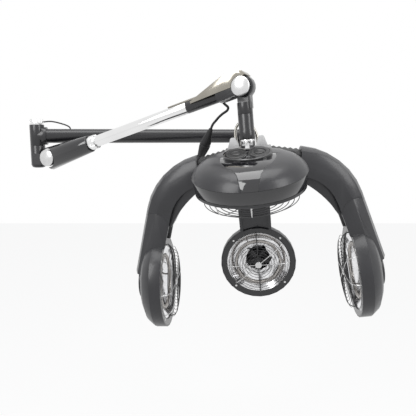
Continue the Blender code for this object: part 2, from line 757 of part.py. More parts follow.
def stem_pieces(frame, materials):
    """Eye head, tube with collar and ring nut of the vertical stem."""
    half = EYE_HALF
    eye = cylinder(frame, STEM_EYE_OD / 2, (0, -half, 0), (0, half, 0))
    web = box(frame, (-0.013, -half, -STEM_HEAD_LENGTH + 0.012), (0.017, half, 0.0))
    neck = cylinder(frame, STEM_OD / 2, (0, 0, -0.036), (0, 0, -STEM_HEAD_LENGTH))
    bore = STEM_BORE / 2
    join(eye, web, neck)
    clear = FORK_CHEEK_RADIUS + 0.0012
    inner = EYE_HALF
    for side in (-1, 1):
        cut(eye, cylinder(frame, clear, (0, side * inner, 0), (0, side * 0.05, 0)))
    cut(eye, cylinder(frame, PIVOT_PIN_OD / 2 + GAP, (0, -0.05, 0), (0, 0.05, 0)))
    cut(eye, cylinder(frame, bore, (0, 0, -0.045), (0, 0, -0.08), 20))
    finish(eye, "stem_head", materials["black_paint"])
    radius = STEM_OD / 2
    collar = STEM_COLLAR_OD / 2
    top = -STEM_HEAD_LENGTH - GAP
    stem = turned(frame, ((radius, top), (radius, -STEM_COLLAR_TOP), (collar, -STEM_COLLAR_TOP),
                          (collar, -STEM_COLLAR_BOTTOM), (bore, -STEM_COLLAR_BOTTOM), (bore, top)),
                          closed=True)
    finish(stem, "stem_tube", materials["black_paint"])
    nut = STEM_NUT_OD / 2
    high = -STEM_COLLAR_BOTTOM - GAP
    low = -STEM_NUT_BOTTOM
    ring = turned(frame, ((nut, high), (nut, low), (bore, low), (bore, high)), closed=True)
    cut(ring, *notches(frame, nut, low - 0.004, high - 0.005, 6, 0.005))
    finish(ring, "stem_ring_nut", materials["chrome"])


def swivel_block(frame, materials):
    """Cross barrel with trunnions and the spigot that turns in the stem."""
    barrel = SWIVEL_BARREL_OD / 2
    trunnion = TRUNNION_OD / 2
    half = SWIVEL_HALF_WIDTH
    body = turned(frame, ((0, TRUNNION_HALF), (trunnion, TRUNNION_HALF), (trunnion, half), (barrel, half),
                          (barrel, -half), (trunnion, -half), (trunnion, -TRUNNION_HALF), (0,
                                                                                           -TRUNNION_HALF)),
                  ALONG_X)
    nut_gap = STEM_LENGTH - STEM_NUT_BOTTOM
    spigot = SWIVEL_SPIGOT_OD / 2
    flange = turned(frame, ((0, SWIVEL_SPIGOT_TOP), (spigot, SWIVEL_SPIGOT_TOP), (spigot, nut_gap - GAP),
                            (SWIVEL_FLANGE_OD / 2, nut_gap - GAP), (SWIVEL_FLANGE_OD / 2, nut_gap - 0.004),
                            (spigot, nut_gap - 0.005), (spigot, 0), (0, 0)))
    join(body, flange)
    finish(body, "swivel_block", materials["black_paint"])


BAIL_ROUTE = (
    (-0.0225, 0.0137, -0.001),
    (-0.0250, 0.022, 0.008),
    (-0.0275, 0.027, 0.030),
    (-0.0275, 0.027, 0.052),
    (-0.020, 0.027, 0.067),
    (-0.007, 0.027, 0.073),
    (0.006, 0.027, 0.068),
    (0.016, 0.027, 0.056),
    (0.0225, 0.027, 0.040),
    (0.0235, 0.027, 0.024),
    (0.0230, 0.022, 0.008),
    (0.0225, 0.0137, -0.001),
)


def swivel_bail(frame, materials):
    """Bent wire loop behind the stem, seated on the cross barrel."""
    bail = tube(frame, smooth_route(BAIL_ROUTE, 2), BAIL_WIRE / 2, 1)
    finish(bail, "swivel_bail", materials["black_gloss"])


# ---------------------------------------------------------------- hood body

def hood_saddle(frame, materials):
    """Light cast bracket: two cheeks on the trunnions, a floor and a front arm over the turret."""
    back = 0.020
    front = ARCH_FACE_Y + GAP
    low = SADDLE_FLOOR
    body = box(frame, (-CHEEK_OUTER, front, low), (CHEEK_OUTER, back, SADDLE_FLOOR_TOP))
    ear = ((CHEEK_OUTER, low + 0.0004), (CHEEK_OUTER, 0.0425), (0.0470, 0.0432), (0.0470, 0.0460),
           (0.0385, 0.0710),
           (0.0360, 0.0730), (0.0285, 0.0730), (0.0260, 0.0710), (0.0185, 0.0500))
    outline = [*ear, *[(-x, z) for x, z in reversed(ear)]]
    join(body, extruded(frame, outline, 0.0025, Matrix.Translation((0, front + 0.0030, 0))))
    for side in (-1, 1):
        inner = side * CHEEK_INNER
        outer = side * CHEEK_OUTER
        top = CHEEK_TOP_Z
        outline = [(front, low), (back, low)]
        outline += arc_points((TILT_Y, top), CHEEK_TOP_RADIUS, math.radians(-10), math.radians(150), 6)
        outline += [(front, top - 0.005)]
        middle = (inner + outer) / 2
        place = Matrix.Translation((middle, 0, 0)) @ Matrix.Rotation(math.radians(90.0), 4, "Z")
        join(body, extruded(frame, outline, (CHEEK_OUTER - CHEEK_INNER) / 2, place))
    arm = extruded(frame, ((front + 0.004, 0.0500), (front - 0.001, 0.0532), (-0.0885, 0.0588),
                           (-0.112, 0.0509),
                           (-0.112, 0.0539), (-0.0885, 0.0620), (front + 0.004, 0.0570)),
                   0.0045, Matrix.Rotation(math.radians(90.0), 4, "Z"))
    arm_root = box(frame, (-0.012, front + 0.0004, 0.045), (0.012, front + 0.0046, 0.0562))
    join(body, arm_root, arm)
    hole = TRUNNION_OD / 2 + GAP
    cut(body, cylinder(frame, hole, (-0.06, TILT_Y, TILT_Z), (0.06, TILT_Y, TILT_Z), 16))
    finish(body, "hood_saddle", materials["light_grey"])


def arch_frame(frame, materials):
    """Casting that carries saddle, dome, bellows and the three arms."""
    half = ARCH_HALF_DEPTH - 0.001
    body = box(frame, (-END_PLATE_OUTER, -half, BEAM_BOTTOM), (END_PLATE_OUTER, half, BEAM_TOP))
    low = ARCH_END_TOP - BELLOWS_HEIGHT
    pin = HINGE_PIN_OD / 2
    lug_inner = HINGE_TONGUE / 2 + GAP
    lug_outer = lug_inner + 0.007
    for side in (-1, 1):
        edges = sorted((side * END_PLATE_INNER, side * END_PLATE_OUTER))
        join(body, box(frame, (edges[0], -half + 0.001, low), (edges[1], half - 0.001, ARCH_END_TOP)))
        hinge = side * ARM_HINGE_X
        for face in (-1, 1):
            near, far = sorted((face * lug_inner, face * lug_outer))
            reach = sorted((side * (END_PLATE_OUTER - 0.004), hinge))
            lug = box(frame, (reach[0], near, ARM_HINGE_Z - 0.010), (reach[1], far, ARM_HINGE_Z + 0.010))
            eye = cylinder(frame, 0.011, (hinge, near, ARM_HINGE_Z), (hinge, far, ARM_HINGE_Z), 14)
            join(body, lug, eye)
        join(body, cylinder(frame, pin, (hinge, -lug_outer + 0.001, ARM_HINGE_Z),
                            (hinge, lug_outer - 0.001, ARM_HINGE_Z), 12))
    tenon_top = ARC_CENTRE_Z + ARC_RADIUS - ARM_WALL - GAP
    join(body, box(frame, (-TENON_HALF, half - 0.01, BEAM_BOTTOM + 0.002),
                   (TENON_HALF, half + TENON_LENGTH, tenon_top)))
    finish(body, "arch_frame", materials["black_paint"])


def bellows(frame, side, name, materials):
    """Corrugated sleeve over an arm hinge, from the casting's end plate to the arm's first section."""
    outward = Vector((math.cos(SIDE_ARC_START), math.sin(SIDE_ARC_START)))
    along = Vector((outward.y, -outward.x))
    start = Vector((END_PLATE_OUTER + GAP, ARCH_END_TOP))
    end = Vector((ARC_CENTRE_X, ARC_CENTRE_Z)) + outward * ARC_RADIUS - along * (ARM_LEAD + GAP)
    rings = []
    edit = bmesh.new()
    for index in range(BELLOWS_RINGS + 1):
        share = index / BELLOWS_RINGS
        up = (Vector((0.0, 1.0)) * (1.0 - share) + outward * share).normalized()
        middle = start.lerp(end, share) - up * BELLOWS_HEIGHT / 2
        fold = BELLOWS_FOLD if index % 2 == 0 else 1.0
        ring = []
        for rise, across in rounded_section(BELLOWS_WIDTH, BELLOWS_HEIGHT, 0.012):
            place = middle + up * rise * fold
            ring.append(edit.verts.new((side * place.x, across * fold, place.y)))
        rings.append(ring)
    size = len(rings[0])
    for first, second in zip(rings, rings[1:]):
        for index in range(size):
            after = (index + 1) % size
            edit.faces.new((first[index], first[after], second[after], second[index]))
    bmesh.ops.recalc_face_normals(edit, faces=edit.faces)
    mesh = bpy.data.meshes.new("bellows")
    edit.to_mesh(mesh)
    edit.free()
    body = tool_object("bellows", mesh, frame)
    solid = body.modifiers.new("wall", "SOLIDIFY")
    solid.thickness = BELLOWS_WALL
    solid.offset = -1.0
    finish(body, name, materials["rubber"], 20.0)


def rounded_section(width, height, radius):
    """Rounded rectangle as (up, across) points."""
    points = []
    for quarter in range(4):
        angle = quarter * math.pi / 2
        up = (height / 2 - radius) * (1 if quarter in (0, 3) else -1)
        across = (width / 2 - radius) * (1 if quarter in (0, 1) else -1)
        for step in range(2):
            turn = angle + (step + 0.5) * math.pi / 4
            points.append((up + radius * math.cos(turn), across + radius * math.sin(turn)))
    return points


# ---------------------------------------------------------------- dome

def dome_solid(frame, offset):
    """Solid of the dome's top shell, pulled in by an offset."""
    profile = []
    for radius, height in reversed(DOME_PROFILE):
        profile.append((max(radius - offset, 0.0), height - offset if height > 0 else 0.0))
    profile = [point for point in profile if point[1] > 0 or point[0] > 0]
    if offset > 0:
        profile[-1] = (profile[-1][0], -0.01)
        profile.append((0.0, -0.01))
    else:
        profile[-1] = (profile[-1][0], GAP)
        profile.append((0.0, GAP))
    return turned(frame, profile, sides=36 if offset == 0 else 26)


def back_cutter(dome, inset):
    """Everything behind the arch's front face, as a cutter in the dome's frame."""
    return box(dome, (-0.3, ARCH_FACE_Y - GAP - inset, -0.3), (0.3, 0.3, 0.3), dome.placed.inverted())


def arch_notches(dome):
    """Room for the arch, the bellows and the shell's back wall, cut out of the dome's dish."""
    into_dome = dome.placed.inverted()
    low = ARCH_END_TOP - BELLOWS_HEIGHT - 0.0015
    outline = ((-0.14, low - 0.014), (-0.119, low - 0.014), (-0.054, low), (0.054, low), (0.119, low - 0.014),
               (0.14, low - 0.014), (0.14, 0.06), (-0.14, 0.06))
    front = ARCH_FACE_Y - 2 * GAP
    arch = extruded(dome, outline, 0.1, into_dome @ Matrix.Translation((0, front + 0.1, 0)))
    wall = box(dome, (-0.2, front - DOME_WALL, 0.006), (0.2, 0.2, 0.1), into_dome)
    return arch, wall


def panel_prism(frame, grow):
    """Front region of the dome that the gloss panel fills."""
    half = [(0.0170, -0.02), (0.0170, 0.0), (0.0200, 0.016), (0.0245, 0.0265), (0.0330, 0.0325),
            (0.0600, 0.0368), (0.0600, 0.06)]
    outline = [(-x - grow, z) for x, z in half] + [(x + grow, z) for x, z in reversed(half)]
    return extruded(frame, outline, 0.1, Matrix.Translation((0, -0.1 + grow, 0)))


def turret_outline(grow):
    """Oval outline of the turret, as (x, y) points."""
    return [(x * (TURRET_HALF_WIDTH + grow), z * (TURRET_HALF_DEPTH + grow))
            for x, z in arc_points((0, 0), 1.0, 0.0, 2 * math.pi, 26)[:-1]]


def turret_matrix():
    """Place of the turret's top plane in the hood's coordinates."""
    move = Matrix.Translation((0, TURRET_Y, TURRET_Z))
    return move @ Matrix.Rotation(TURRET_PITCH, 4, "X")


def turret_plug(frame, matrix, grow, top, bottom):
    """Oval prism between two heights of the turret's own axis."""
    half = (top - bottom) / 2
    lift = Matrix.Translation((0, 0, (top + bottom) / 2)) @ Matrix.Rotation(math.radians(-90.0), 4, "X")
    return extruded(frame, turret_outline(grow), half, matrix @ lift)


def dome_covers(hood, dome, materials):
    """Top shell, front panel and gloss band."""
    into_dome = dome.placed.inverted()
    shell = dome_solid(dome, 0.0)
    cut(shell, back_cutter(dome, 0.0))
    inside = dome_solid(dome, DOME_WALL)
    cut(inside, back_cutter(dome, DOME_WALL))
    cut(shell, inside)
    hole = turret_plug(dome, into_dome @ turret_matrix(), GAP, 0.02, -0.030)
    cut(shell, hole)
    panel = tool_object("panel", shell.data.copy(), dome)
    for modifier in shell.modifiers:
        boolean(panel, modifier.object, "DIFFERENCE")
    keep(panel, panel_prism(dome, -GAP / 2))
    cut(shell, panel_prism(dome, GAP / 2))
    finish(shell, "dome_shell", materials["satin_black"])
    finish(panel, "dome_panel", materials["black_gloss"])
    wall = DOME_WALL
    top = BAND_TOP_RADIUS
    low = BAND_BOTTOM_RADIUS
    band = turned(dome, ((top, 0.0), (low, -BAND_HEIGHT), (low - wall, -BAND_HEIGHT), (top - wall, 0.0)),
                  sides=36, closed=True)
    cut(band, back_cutter(dome, 0.0))
    finish(band, "dome_band", materials["black_gloss"])


def turret(hood, materials):
    """Oval turret on the dome with two slotted vent caps."""
    place = turret_matrix()
    body = turret_plug(hood, place, 0.0, 0.0, -TURRET_HEIGHT)
    wall = TURRET_WALL
    for side in (-1, 1):
        x = side * VENT_X
        cut(body, cylinder(hood, VENT_RADIUS + GAP, (x, 0, -0.0123), (x, 0, 0.0117), 20, matrix=place))
    triangulated(body)
    cut(body, turret_plug(hood, place, -wall, -wall, -TURRET_HEIGHT - 0.01))
    finish(body, "turret_housing", materials["black_gloss"])
    for side, name in ((-1, "left_vent_cap"), (1, "right_vent_cap")):
        x = side * VENT_X
        top = 0.0012
        centre = place @ Matrix.Translation((x, 0, 0))
        cap = turned(hood, ((0, top), (VENT_RADIUS, top - 0.0008), (VENT_RADIUS, top - VENT_THICKNESS),
                            (0, top - VENT_THICKNESS)), centre, 20)
        cut(cap, ring_cutter(hood, 0.0105, 0.0145, centre))
        finish(cap, name, materials["black_paint"])


def ring_cutter(frame, inner, outer, matrix):
    """Ring groove for a vent slot."""
    return turned(frame, ((outer, 0.004), (outer, -0.0004), (inner, -0.0004), (inner, 0.004)), matrix,
                  16, True)


# ---------------------------------------------------------------- curved arms

def arm_path(start, drop, count=6):
    """Outer face line of a curved arm in the arch plane, with a straight lower end."""
    path = arc_points((ARC_CENTRE_X, ARC_CENTRE_Z), ARC_RADIUS, start, ARC_END, count)
    x, z = path[0]
    path.insert(0, (x - ARM_LEAD * math.sin(start), z + ARM_LEAD * math.cos(start)))
    x, z = path[-1]
    lower = NECK_BOTTOM_Z - drop
    path.append((x + (z - lower) * math.tan(ARC_END), lower))
    return path


def solid_section(inset=0.0):
    """Full section of an arm: flat sides, bevelled outer edges."""
    half = ARM_WIDTH / 2 - inset
    outer = half - BEVEL_WIDTH + inset * 0.3
    crown = CROWN_HEIGHT - inset
    return ((-ARM_DEPTH + inset, -half), (-BEVEL_DEPTH, -half), (-inset, -outer), (crown, -CROWN_HALF),
            (crown, CROWN_HALF), (-inset, outer), (-BEVEL_DEPTH, half), (-ARM_DEPTH + inset, half))


def pocket_section():
    """Hollow of a closed neck, between its outer wall and its recessed inner plate."""
    half = ARM_WIDTH / 2 - ARM_WALL
    outer = half - BEVEL_WIDTH + ARM_WALL * 0.3
    low = -ARM_DEPTH + RECESS_DEPTH + ARM_WALL
    return ((low, -half), (-BEVEL_DEPTH - 0.001, -half), (-ARM_WALL, -outer), (-ARM_WALL, outer),
            (-BEVEL_DEPTH - 0.001, half), (low, half))


def channel_section():
    """Channel with inward lips: an arm shell that is open on its inner side."""
    half = ARM_WIDTH / 2
    inner = half - ARM_WALL
    lip = half - LIP_WIDTH
    depth = -ARM_DEPTH
    shelf = depth + LIP_DEPTH
    shoulder = inner - BEVEL_WIDTH + ARM_WALL * 0.3
    outside = list(solid_section())
    inside = [(depth, lip), (shelf, lip), (shelf, inner), (-BEVEL_DEPTH - 0.001, inner), (-ARM_WALL,
                                                                                          shoulder),
              (-ARM_WALL, -shoulder), (-BEVEL_DEPTH - 0.001, -inner), (shelf, -inner), (shelf, -lip),
              (depth, -lip)]
    return outside + inside


def recess_section():
    """Shallow recess between the lips of a neck."""
    lip = ARM_WIDTH / 2 - LIP_WIDTH
    return ((-ARM_DEPTH - 0.02, -lip), (-ARM_DEPTH + RECESS_DEPTH, -lip), (-ARM_DEPTH + RECESS_DEPTH, lip),
            (-ARM_DEPTH - 0.02, lip))


def drop_shift(drop):
    """How far a lower end moves when the straight part is longer."""
    return Vector((drop * math.tan(ARC_END), -drop))


def seam_outline(radius, drop, swing=0.0):
    """Region of a head's neck: round top about the pivot, open below; swing lowers its inner flank."""
    shift = drop_shift(drop)
    centre = Vector((HEAD_PIVOT_X + shift.x, HEAD_PIVOT_Z + shift.y))
    x, z = centre
    points = arc_points((x, z), radius, 0.0, math.pi + swing, SEAM_STEPS)
    more = radius - HEAD_SEAM_RADIUS
    turn = Matrix.Rotation(swing, 2)
    for corner in ((-radius - 0.001, more - 0.003), (-0.10 - more, more - 0.06)):
        points.append(tuple(centre + turn @ Vector(corner)))
    points += [(x - 0.10, z - 0.3), (x + 0.2, z - 0.3), (x + 0.2, z - 0.06), (x + radius + 0.001,
                                                                              z - 0.003 + more)]
    return points


def head_tongue(frame, shell, drop):
    """Rib inside the lower end of an arm, out to the head's pivot."""
    shift = drop_shift(drop)
    x = HEAD_PIVOT_X + shift.x
    z = HEAD_PIVOT_Z + shift.y
    half = HINGE_TONGUE / 2
    outer = arm_line(z + 0.055, 0.0010)
    upper = arm_line(z + 0.078, 0.0010)
    inner = arm_line(z + 0.050, ARM_DEPTH - 0.014)
    inner_low = arm_line(z + 0.040, ARM_DEPTH - 0.017)
    rib = extruded(frame, (upper, outer, (x + 0.010, z + 0.012), (x + 0.006, z - 0.004), (x - 0.008,
                                                                                          z - 0.004),
                           (x - 0.011, z + 0.010), inner_low, inner), half)
    eye_half = half - 0.0005
    eye = cylinder(frame, HINGE_EYE_RADIUS, (x, -eye_half, z), (x, eye_half, z), 14)
    join(shell, rib, eye)
    cut(shell, cylinder(frame, HEAD_PIN_OD / 2 + GAP, (x, -0.03, z), (x, 0.03, z), 12))


def arm_line(z, depth):
    """Point at a height, a given depth under an arm's outer face."""
    radius = ARC_RADIUS - depth
    lift = z - ARC_CENTRE_Z
    corner = radius * math.sin(ARC_END)
    if lift >= corner:
        return ARC_CENTRE_X + math.sqrt(radius * radius - lift * lift), z
    start = ARC_CENTRE_X + radius * math.cos(ARC_END)
    return start + (corner - lift) * math.tan(ARC_END), z


def side_arm(frame, side_name, materials):
    """Curved channel of a side arm with its hinge tongue and its inner cover."""
    path = arm_path(SIDE_ARC_START, 0.0)
    shell = swept(frame, path, channel_section())
    cut(shell, extruded(frame, seam_outline(HEAD_SEAM_RADIUS + GAP, 0.0), 0.08))
    start = arc_points((ARC_CENTRE_X, ARC_CENTRE_Z), 1.0, SIDE_ARC_START, SIDE_ARC_START, 1)[0]
    across = Vector((start[0] - ARC_CENTRE_X, start[1] - ARC_CENTRE_Z))
    along = Vector((across.y, -across.x))
    top = Vector((ARC_CENTRE_X, ARC_CENTRE_Z)) + across * (ARC_RADIUS - 0.0015)
    low = Vector((ARC_CENTRE_X, ARC_CENTRE_Z)) + across * (ARC_RADIUS - ARM_DEPTH + 0.008)
    face = Vector(path[0])
    cap = swept(frame, (path[0], tuple(face + along * 0.003)), solid_section(0.0015))
    middle = top + (low - top) * 0.36
    tongue_half = HINGE_TONGUE / 2
    tongue = extruded(frame, ((ARM_HINGE_X, ARM_HINGE_Z + 0.010), (middle.x + 0.003, middle.y + 0.011),
                              (middle.x + 0.003, middle.y - 0.011), (ARM_HINGE_X,
                                                                     ARM_HINGE_Z - 0.010)), tongue_half)
    eye_half = tongue_half - 0.0005
    eye = cylinder(frame, HINGE_EYE_RADIUS, (ARM_HINGE_X, -eye_half, ARM_HINGE_Z),
                   (ARM_HINGE_X, eye_half, ARM_HINGE_Z), 14)
    join(shell, cap, tongue, eye)
    cut(shell, cylinder(frame, HINGE_PIN_OD / 2 + GAP, (ARM_HINGE_X, -0.03, ARM_HINGE_Z),
                        (ARM_HINGE_X, 0.03, ARM_HINGE_Z), 12))
    head_tongue(frame, shell, 0.0)
    finish(shell, side_name + "_arm_shell", materials["satin_black"], 25.0)
    half = ARM_WIDTH / 2 - LIP_WIDTH - GAP
    cover = extruded(frame, cover_outline(0.0), half)
    cut(cover, extruded(frame, cover_outline(ARM_WALL), half - ARM_WALL))
    cut(cover, extruded(frame, seam_outline(HEAD_SEAM_RADIUS + GAP, 0.0), 0.08))
    finish(cover, side_name + "_arm_cover", materials["black_paint"], 25.0)


def cover_outline(inset):
    """Side outline of the bowed inner cover, between its bow and a seat inside the channel."""
    seat = ARC_RADIUS - ARM_DEPTH + LIP_DEPTH + 0.003
    start = SIDE_ARC_START - math.radians(4.0)
    reach = seat if inset == 0.0 else seat + 0.02
    back = arc_points((ARC_CENTRE_X, ARC_CENTRE_Z), reach, ARC_END * 0.9, start - inset * 10, 8)
    bow = arc_points((COVER_CENTRE_X, COVER_CENTRE_Z), COVER_RADIUS + inset, math.radians(57.0) - inset * 8,
                     math.radians(25.5), 8)
    return back + bow


def rear_arm(frame, materials):
    """Fixed rear arm: the same channel as the side arms, from the arch down to the rear head."""
    path = arm_path(REAR_ARC_START, REAR_DROP)
    path.insert(0, (-ARCH_FACE_Y, path[0][1]))
    shell = swept(frame, path, channel_section())
    hole = HOOD_CABLE_OD / 2 + 0.0015
    cut(shell, extruded(frame, seam_outline(HEAD_SEAM_RADIUS + GAP, REAR_DROP), 0.08))
    cut(shell, cylinder(frame, hole, (REAR_CABLE_X, 0.036, REAR_CABLE_Z), (REAR_CABLE_X, 0.06,
                                                                           REAR_CABLE_Z), 12))
    head_tongue(frame, shell, REAR_DROP)
    finish(shell, "rear_arm_shell", materials["satin_black"], 25.0)


# ---------------------------------------------------------------- heads

def drum_matrix(drop):
    """Place of a drum's axis in the arch plane."""
    shift = drop_shift(drop)
    move = Matrix.Translation((DRUM_X + shift.x, 0, DRUM_Z + shift.y))
    return move @ Matrix.Rotation(-DRUM_LEAN, 4, "Y") @ ALONG_X


def dish_depth(radius, rim, floor, outer):
    """Depth of the reflector dish at a radius."""
    share = min(max((radius - FAN_HOLE_RADIUS) / (outer - FAN_HOLE_RADIUS), 0.0), 1.0)
    return floor + (rim - floor) * share ** 1.6


def reflector(frame, matrix, flange, outer, rim, floor):
    """Dish with a flange at the rim and a hole for the fan; height runs from rim to floor."""
    thick = REFLECTOR_THICKNESS if floor > rim else -REFLECTOR_THICKNESS
    front = []
    back = []
    steps = 3
    for index in range(steps + 1):
        radius = outer + (FAN_HOLE_RADIUS - outer) * index / steps
        depth = dish_depth(radius, rim, floor, outer)
        front.append((radius, depth))
        back.append((radius, depth + thick * 1.4))
    profile = [(flange, rim), *front, *reversed(back[1:]), (outer + 0.0008, rim + thick), (flange,
                                                                                           rim + thick)]
    if floor > rim:
        profile.reverse()
    return turned(frame, profile, matrix, DRUM_SIDES, True)


def heater(frame, matrix, radius, height, foot_radius, foot_height):
    """Ring tube on three feet that stand on the reflector."""
    ring = []
    count = 16
    for index in range(count):
        angle = 2 * math.pi * index / count
        ring.append((radius * math.cos(angle), radius * math.sin(angle), height))
    body = tube(frame, ring, HEATER_TUBE, 1, True, matrix)
    for index in range(3):
        angle = 2 * math.pi * index / 3 - math.pi / 2 + 0.1
        x = radius * math.cos(angle)
        y = radius * math.sin(angle)
        join(body, cylinder(frame, foot_radius, (x, y, height), (x, y, foot_height), 8, matrix=matrix))
    return body


def guard(frame, matrix, ring_outer, ring_inner, ring_low, ring_high, crown):
    """Bezel ring with a basket-shaped wire grille and a hub."""
    body = turned(frame, ((ring_outer, ring_high), (ring_outer, ring_low), (ring_inner, ring_low),
                          (ring_inner, ring_high)), matrix, DRUM_SIDES, True)
    middle = (ring_low + ring_high) / 2
    edge = ring_inner + 0.002

    def height(radius):
        share = min(radius / edge, 1.0)
        return middle + (crown - middle) * math.sqrt(1.0 - share ** BASKET_POWER)

    reaches = (0.006, edge * 0.6, edge * 0.86, edge * 0.97, edge)
    count = 4
    for index in range(count):
        angle = 2 * math.pi * index / count + 0.03
        spoke = [(reach * math.cos(angle), reach * math.sin(angle), height(reach)) for reach in reaches]
        join(body, tube(frame, spoke, WIRE / 2 + 0.0002, 0, False, matrix))
    radius = edge * 0.62
    ring = []
    for index in range(14):
        angle = 2 * math.pi * (index + 0.3) / 14
        ring.append((radius * math.cos(angle), radius * math.sin(angle), height(radius)))
    join(body, tube(frame, ring, WIRE / 2, 0, True, matrix))
    join(body, cylinder(frame, HUB_RADIUS, (0, 0, crown - 0.0021), (0, 0, crown + 0.0023), 11, matrix=matrix))
    return body


def rotor(frame, low, high, radius):
    """Fan wheel about the frame's local Z: hub with a bore and five pitched blades."""
    hub = cylinder(frame, 0.010, (0, 0, low), (0, 0, high), 12)
    for index in range(5):
        turn = Matrix.Rotation(2 * math.pi * index / 5, 4, "Z")
        pitch = Matrix.Rotation(math.radians(32.0), 4, "X")
        middle = (low + high) / 2
        place = turn @ Matrix.Translation((0, 0, middle)) @ pitch
        join(hub, box(frame, (0.006, -0.007, -0.0007), (radius, 0.007, 0.0007), place))
    inside = (low, high - 0.003) if low < high else (low, high + 0.003)
    bore = SHAFT_RADIUS + GAP
    cut(hub, cylinder(frame, bore, (0, 0, inside[0] - 0.01 * (1 if high > low else -1)), (0, 0,
                                                                                          inside[1]), 9))
    return hub


def head(name, carrier, drop, materials):
    """Drum head on an arm: housing with neck, guard, reflector, heater, motor and fan."""
    shift = drop_shift(drop)
    pivot = (HEAD_PIVOT_X + shift.x, 0.0, HEAD_PIVOT_Z + shift.y)
    frame = Frame(name + "_head_axis", carrier, pivot, origin=pivot)
    place = drum_matrix(drop)
    neck_path = arm_path(SIDE_ARC_START, drop)
    neck = swept(frame, neck_path, solid_section())
    keep(neck, extruded(frame, seam_outline(HEAD_SEAM_RADIUS, drop, HEAD_SWING), 0.08))
    outer = DRUM_RADIUS
    drum = turned(frame, ((0, CAP_DEPTH), (CAP_RADIUS, CAP_DEPTH), (CAP_RADIUS, CAP_DEPTH - 0.007),
                          (0.076, CAP_DEPTH - 0.0125), (0.100, 0.0455), (outer, DRUM_BAND),
                          (outer, 0.0), (0, 0.0)), place, 28)
    join(neck, drum)
    pocket_path = [point for point in neck_path if point[1] > DRUM_Z + shift.y + 0.085]
    x, z = pocket_path[-1]
    low = DRUM_Z + shift.y + 0.088
    pocket_path.append((x + (z - low) * math.tan(ARC_END), low))
    cut(neck, swept(frame, pocket_path, pocket_section()))
    recess_low = DRUM_Z + shift.y + DRUM_RADIUS + 0.004
    recess_path = [point for point in neck_path if point[1] > recess_low]
    x, z = recess_path[-1]
    recess_path.append((x + (z - recess_low) * math.tan(ARC_END), recess_low))
    cut(neck, swept(frame, recess_path, recess_section()))
    seat = BEZEL_THICKNESS + GAP
    wall = outer - DRUM_WALL
    hollow = ((0, CAP_DEPTH - 0.010), (0.040, CAP_DEPTH - 0.010), (0.074, CAP_DEPTH - 0.018),
              (wall - 0.004, DRUM_BAND - 0.003), (wall - 0.004, seat), (wall, seat), (wall, -0.01), (0,
                                                                                                     -0.01))
    cut(neck, turned(frame, hollow, place, DRUM_SIDES))
    half = ARM_WIDTH / 2 - 0.001
    join(neck, cylinder(frame, HEAD_PIN_OD / 2, (pivot[0], -half, pivot[2]), (pivot[0], half, pivot[2]), 12))
    finish(neck, name + "_head_housing", materials["satin_black"], 25.0)

    bezel = wall - GAP
    shield = guard(frame, place, bezel, BEZEL_INNER, 0.0, BEZEL_THICKNESS, HEAD_GUARD_CROWN)
    finish(shield, name + "_head_guard", materials["black_paint"])
    dish_rim = seat
    dish_floor = 0.036
    dish_outer = BEZEL_INNER + 0.001
    dish = reflector(frame, place, wall - 0.004 - GAP, dish_outer, dish_rim, dish_floor)
    finish(dish, name + "_head_reflector", materials["mirror"])
    foot = dish_depth(HEATER_RADIUS, dish_rim, dish_floor, dish_outer) - HEATER_FOOT_GAP
    ring = heater(frame, place, HEATER_RADIUS, 0.0095, 0.0022, foot)
    finish(ring, name + "_head_heater", materials["heater"])
    back = CAP_DEPTH - 0.010 - GAP
    motor = turned(frame, ((0, back), (0.034, back), (0.034, back - 0.003), (MOTOR_RADIUS, back - 0.003),
                           (MOTOR_RADIUS, 0.042), (SHAFT_RADIUS, 0.042), (SHAFT_RADIUS, 0.026), (0, 0.026)),
                   place, 20)
    finish(motor, name + "_head_fan_motor", materials["motor"])
    fan = Frame(name + "_fan_axis", frame, place.translation)
    fan.empty.rotation_euler = place.to_euler()
    wheel = rotor(fan, 0.040, 0.020, FAN_RADIUS)
    finish(wheel, name + "_head_fan_rotor", materials["fan"])
    return frame


def dome_insides(dome, materials):
    """Guard, reflector, ring heater, motor and fan of the dome."""
    plain = Matrix()
    ring_top = -BAND_HEIGHT - GAP
    shield = guard(dome, plain, DOME_GUARD_RING, DOME_GUARD_INNER, ring_top - 0.0065, ring_top,
                   -DOME_GUARD_BOTTOM)
    finish(shield, "dome_guard", materials["black_paint"])
    rim = ring_top + GAP
    floor = 0.004
    dish_outer = DOME_GUARD_INNER + 0.001
    dish = reflector(dome, plain, DOME_REFLECTOR_RADIUS, dish_outer, rim, floor)
    cut(dish, *arch_notches(dome))
    finish(dish, "dome_reflector", materials["mirror"])
    height = -0.032
    foot = dish_depth(HEATER_RADIUS, rim, floor, dish_outer) - HEATER_FOOT_GAP
    ring = heater(dome, plain, HEATER_RADIUS, height, 0.0022, foot)
    finish(ring, "dome_heater", materials["heater"])
    seat = floor + REFLECTOR_THICKNESS * 1.4 + GAP
    flange = FAN_HOLE_RADIUS + 0.004
    motor = turned(dome, ((0, 0.024), (MOTOR_RADIUS, 0.024), (MOTOR_RADIUS, seat + 0.002), (flange,
                                                                                            seat + 0.002),
                          (flange, seat), (SHAFT_RADIUS, seat), (SHAFT_RADIUS, -0.006), (0, -0.006)),
                          sides=24)
    finish(motor, "dome_fan_motor", materials["motor"])
    fan = Frame("dome_fan_axis", dome)
    wheel = rotor(fan, 0.003, -0.012, FAN_RADIUS)
    finish(wheel, "dome_fan_rotor", materials["fan"])


# ---------------------------------------------------------------- hood cable

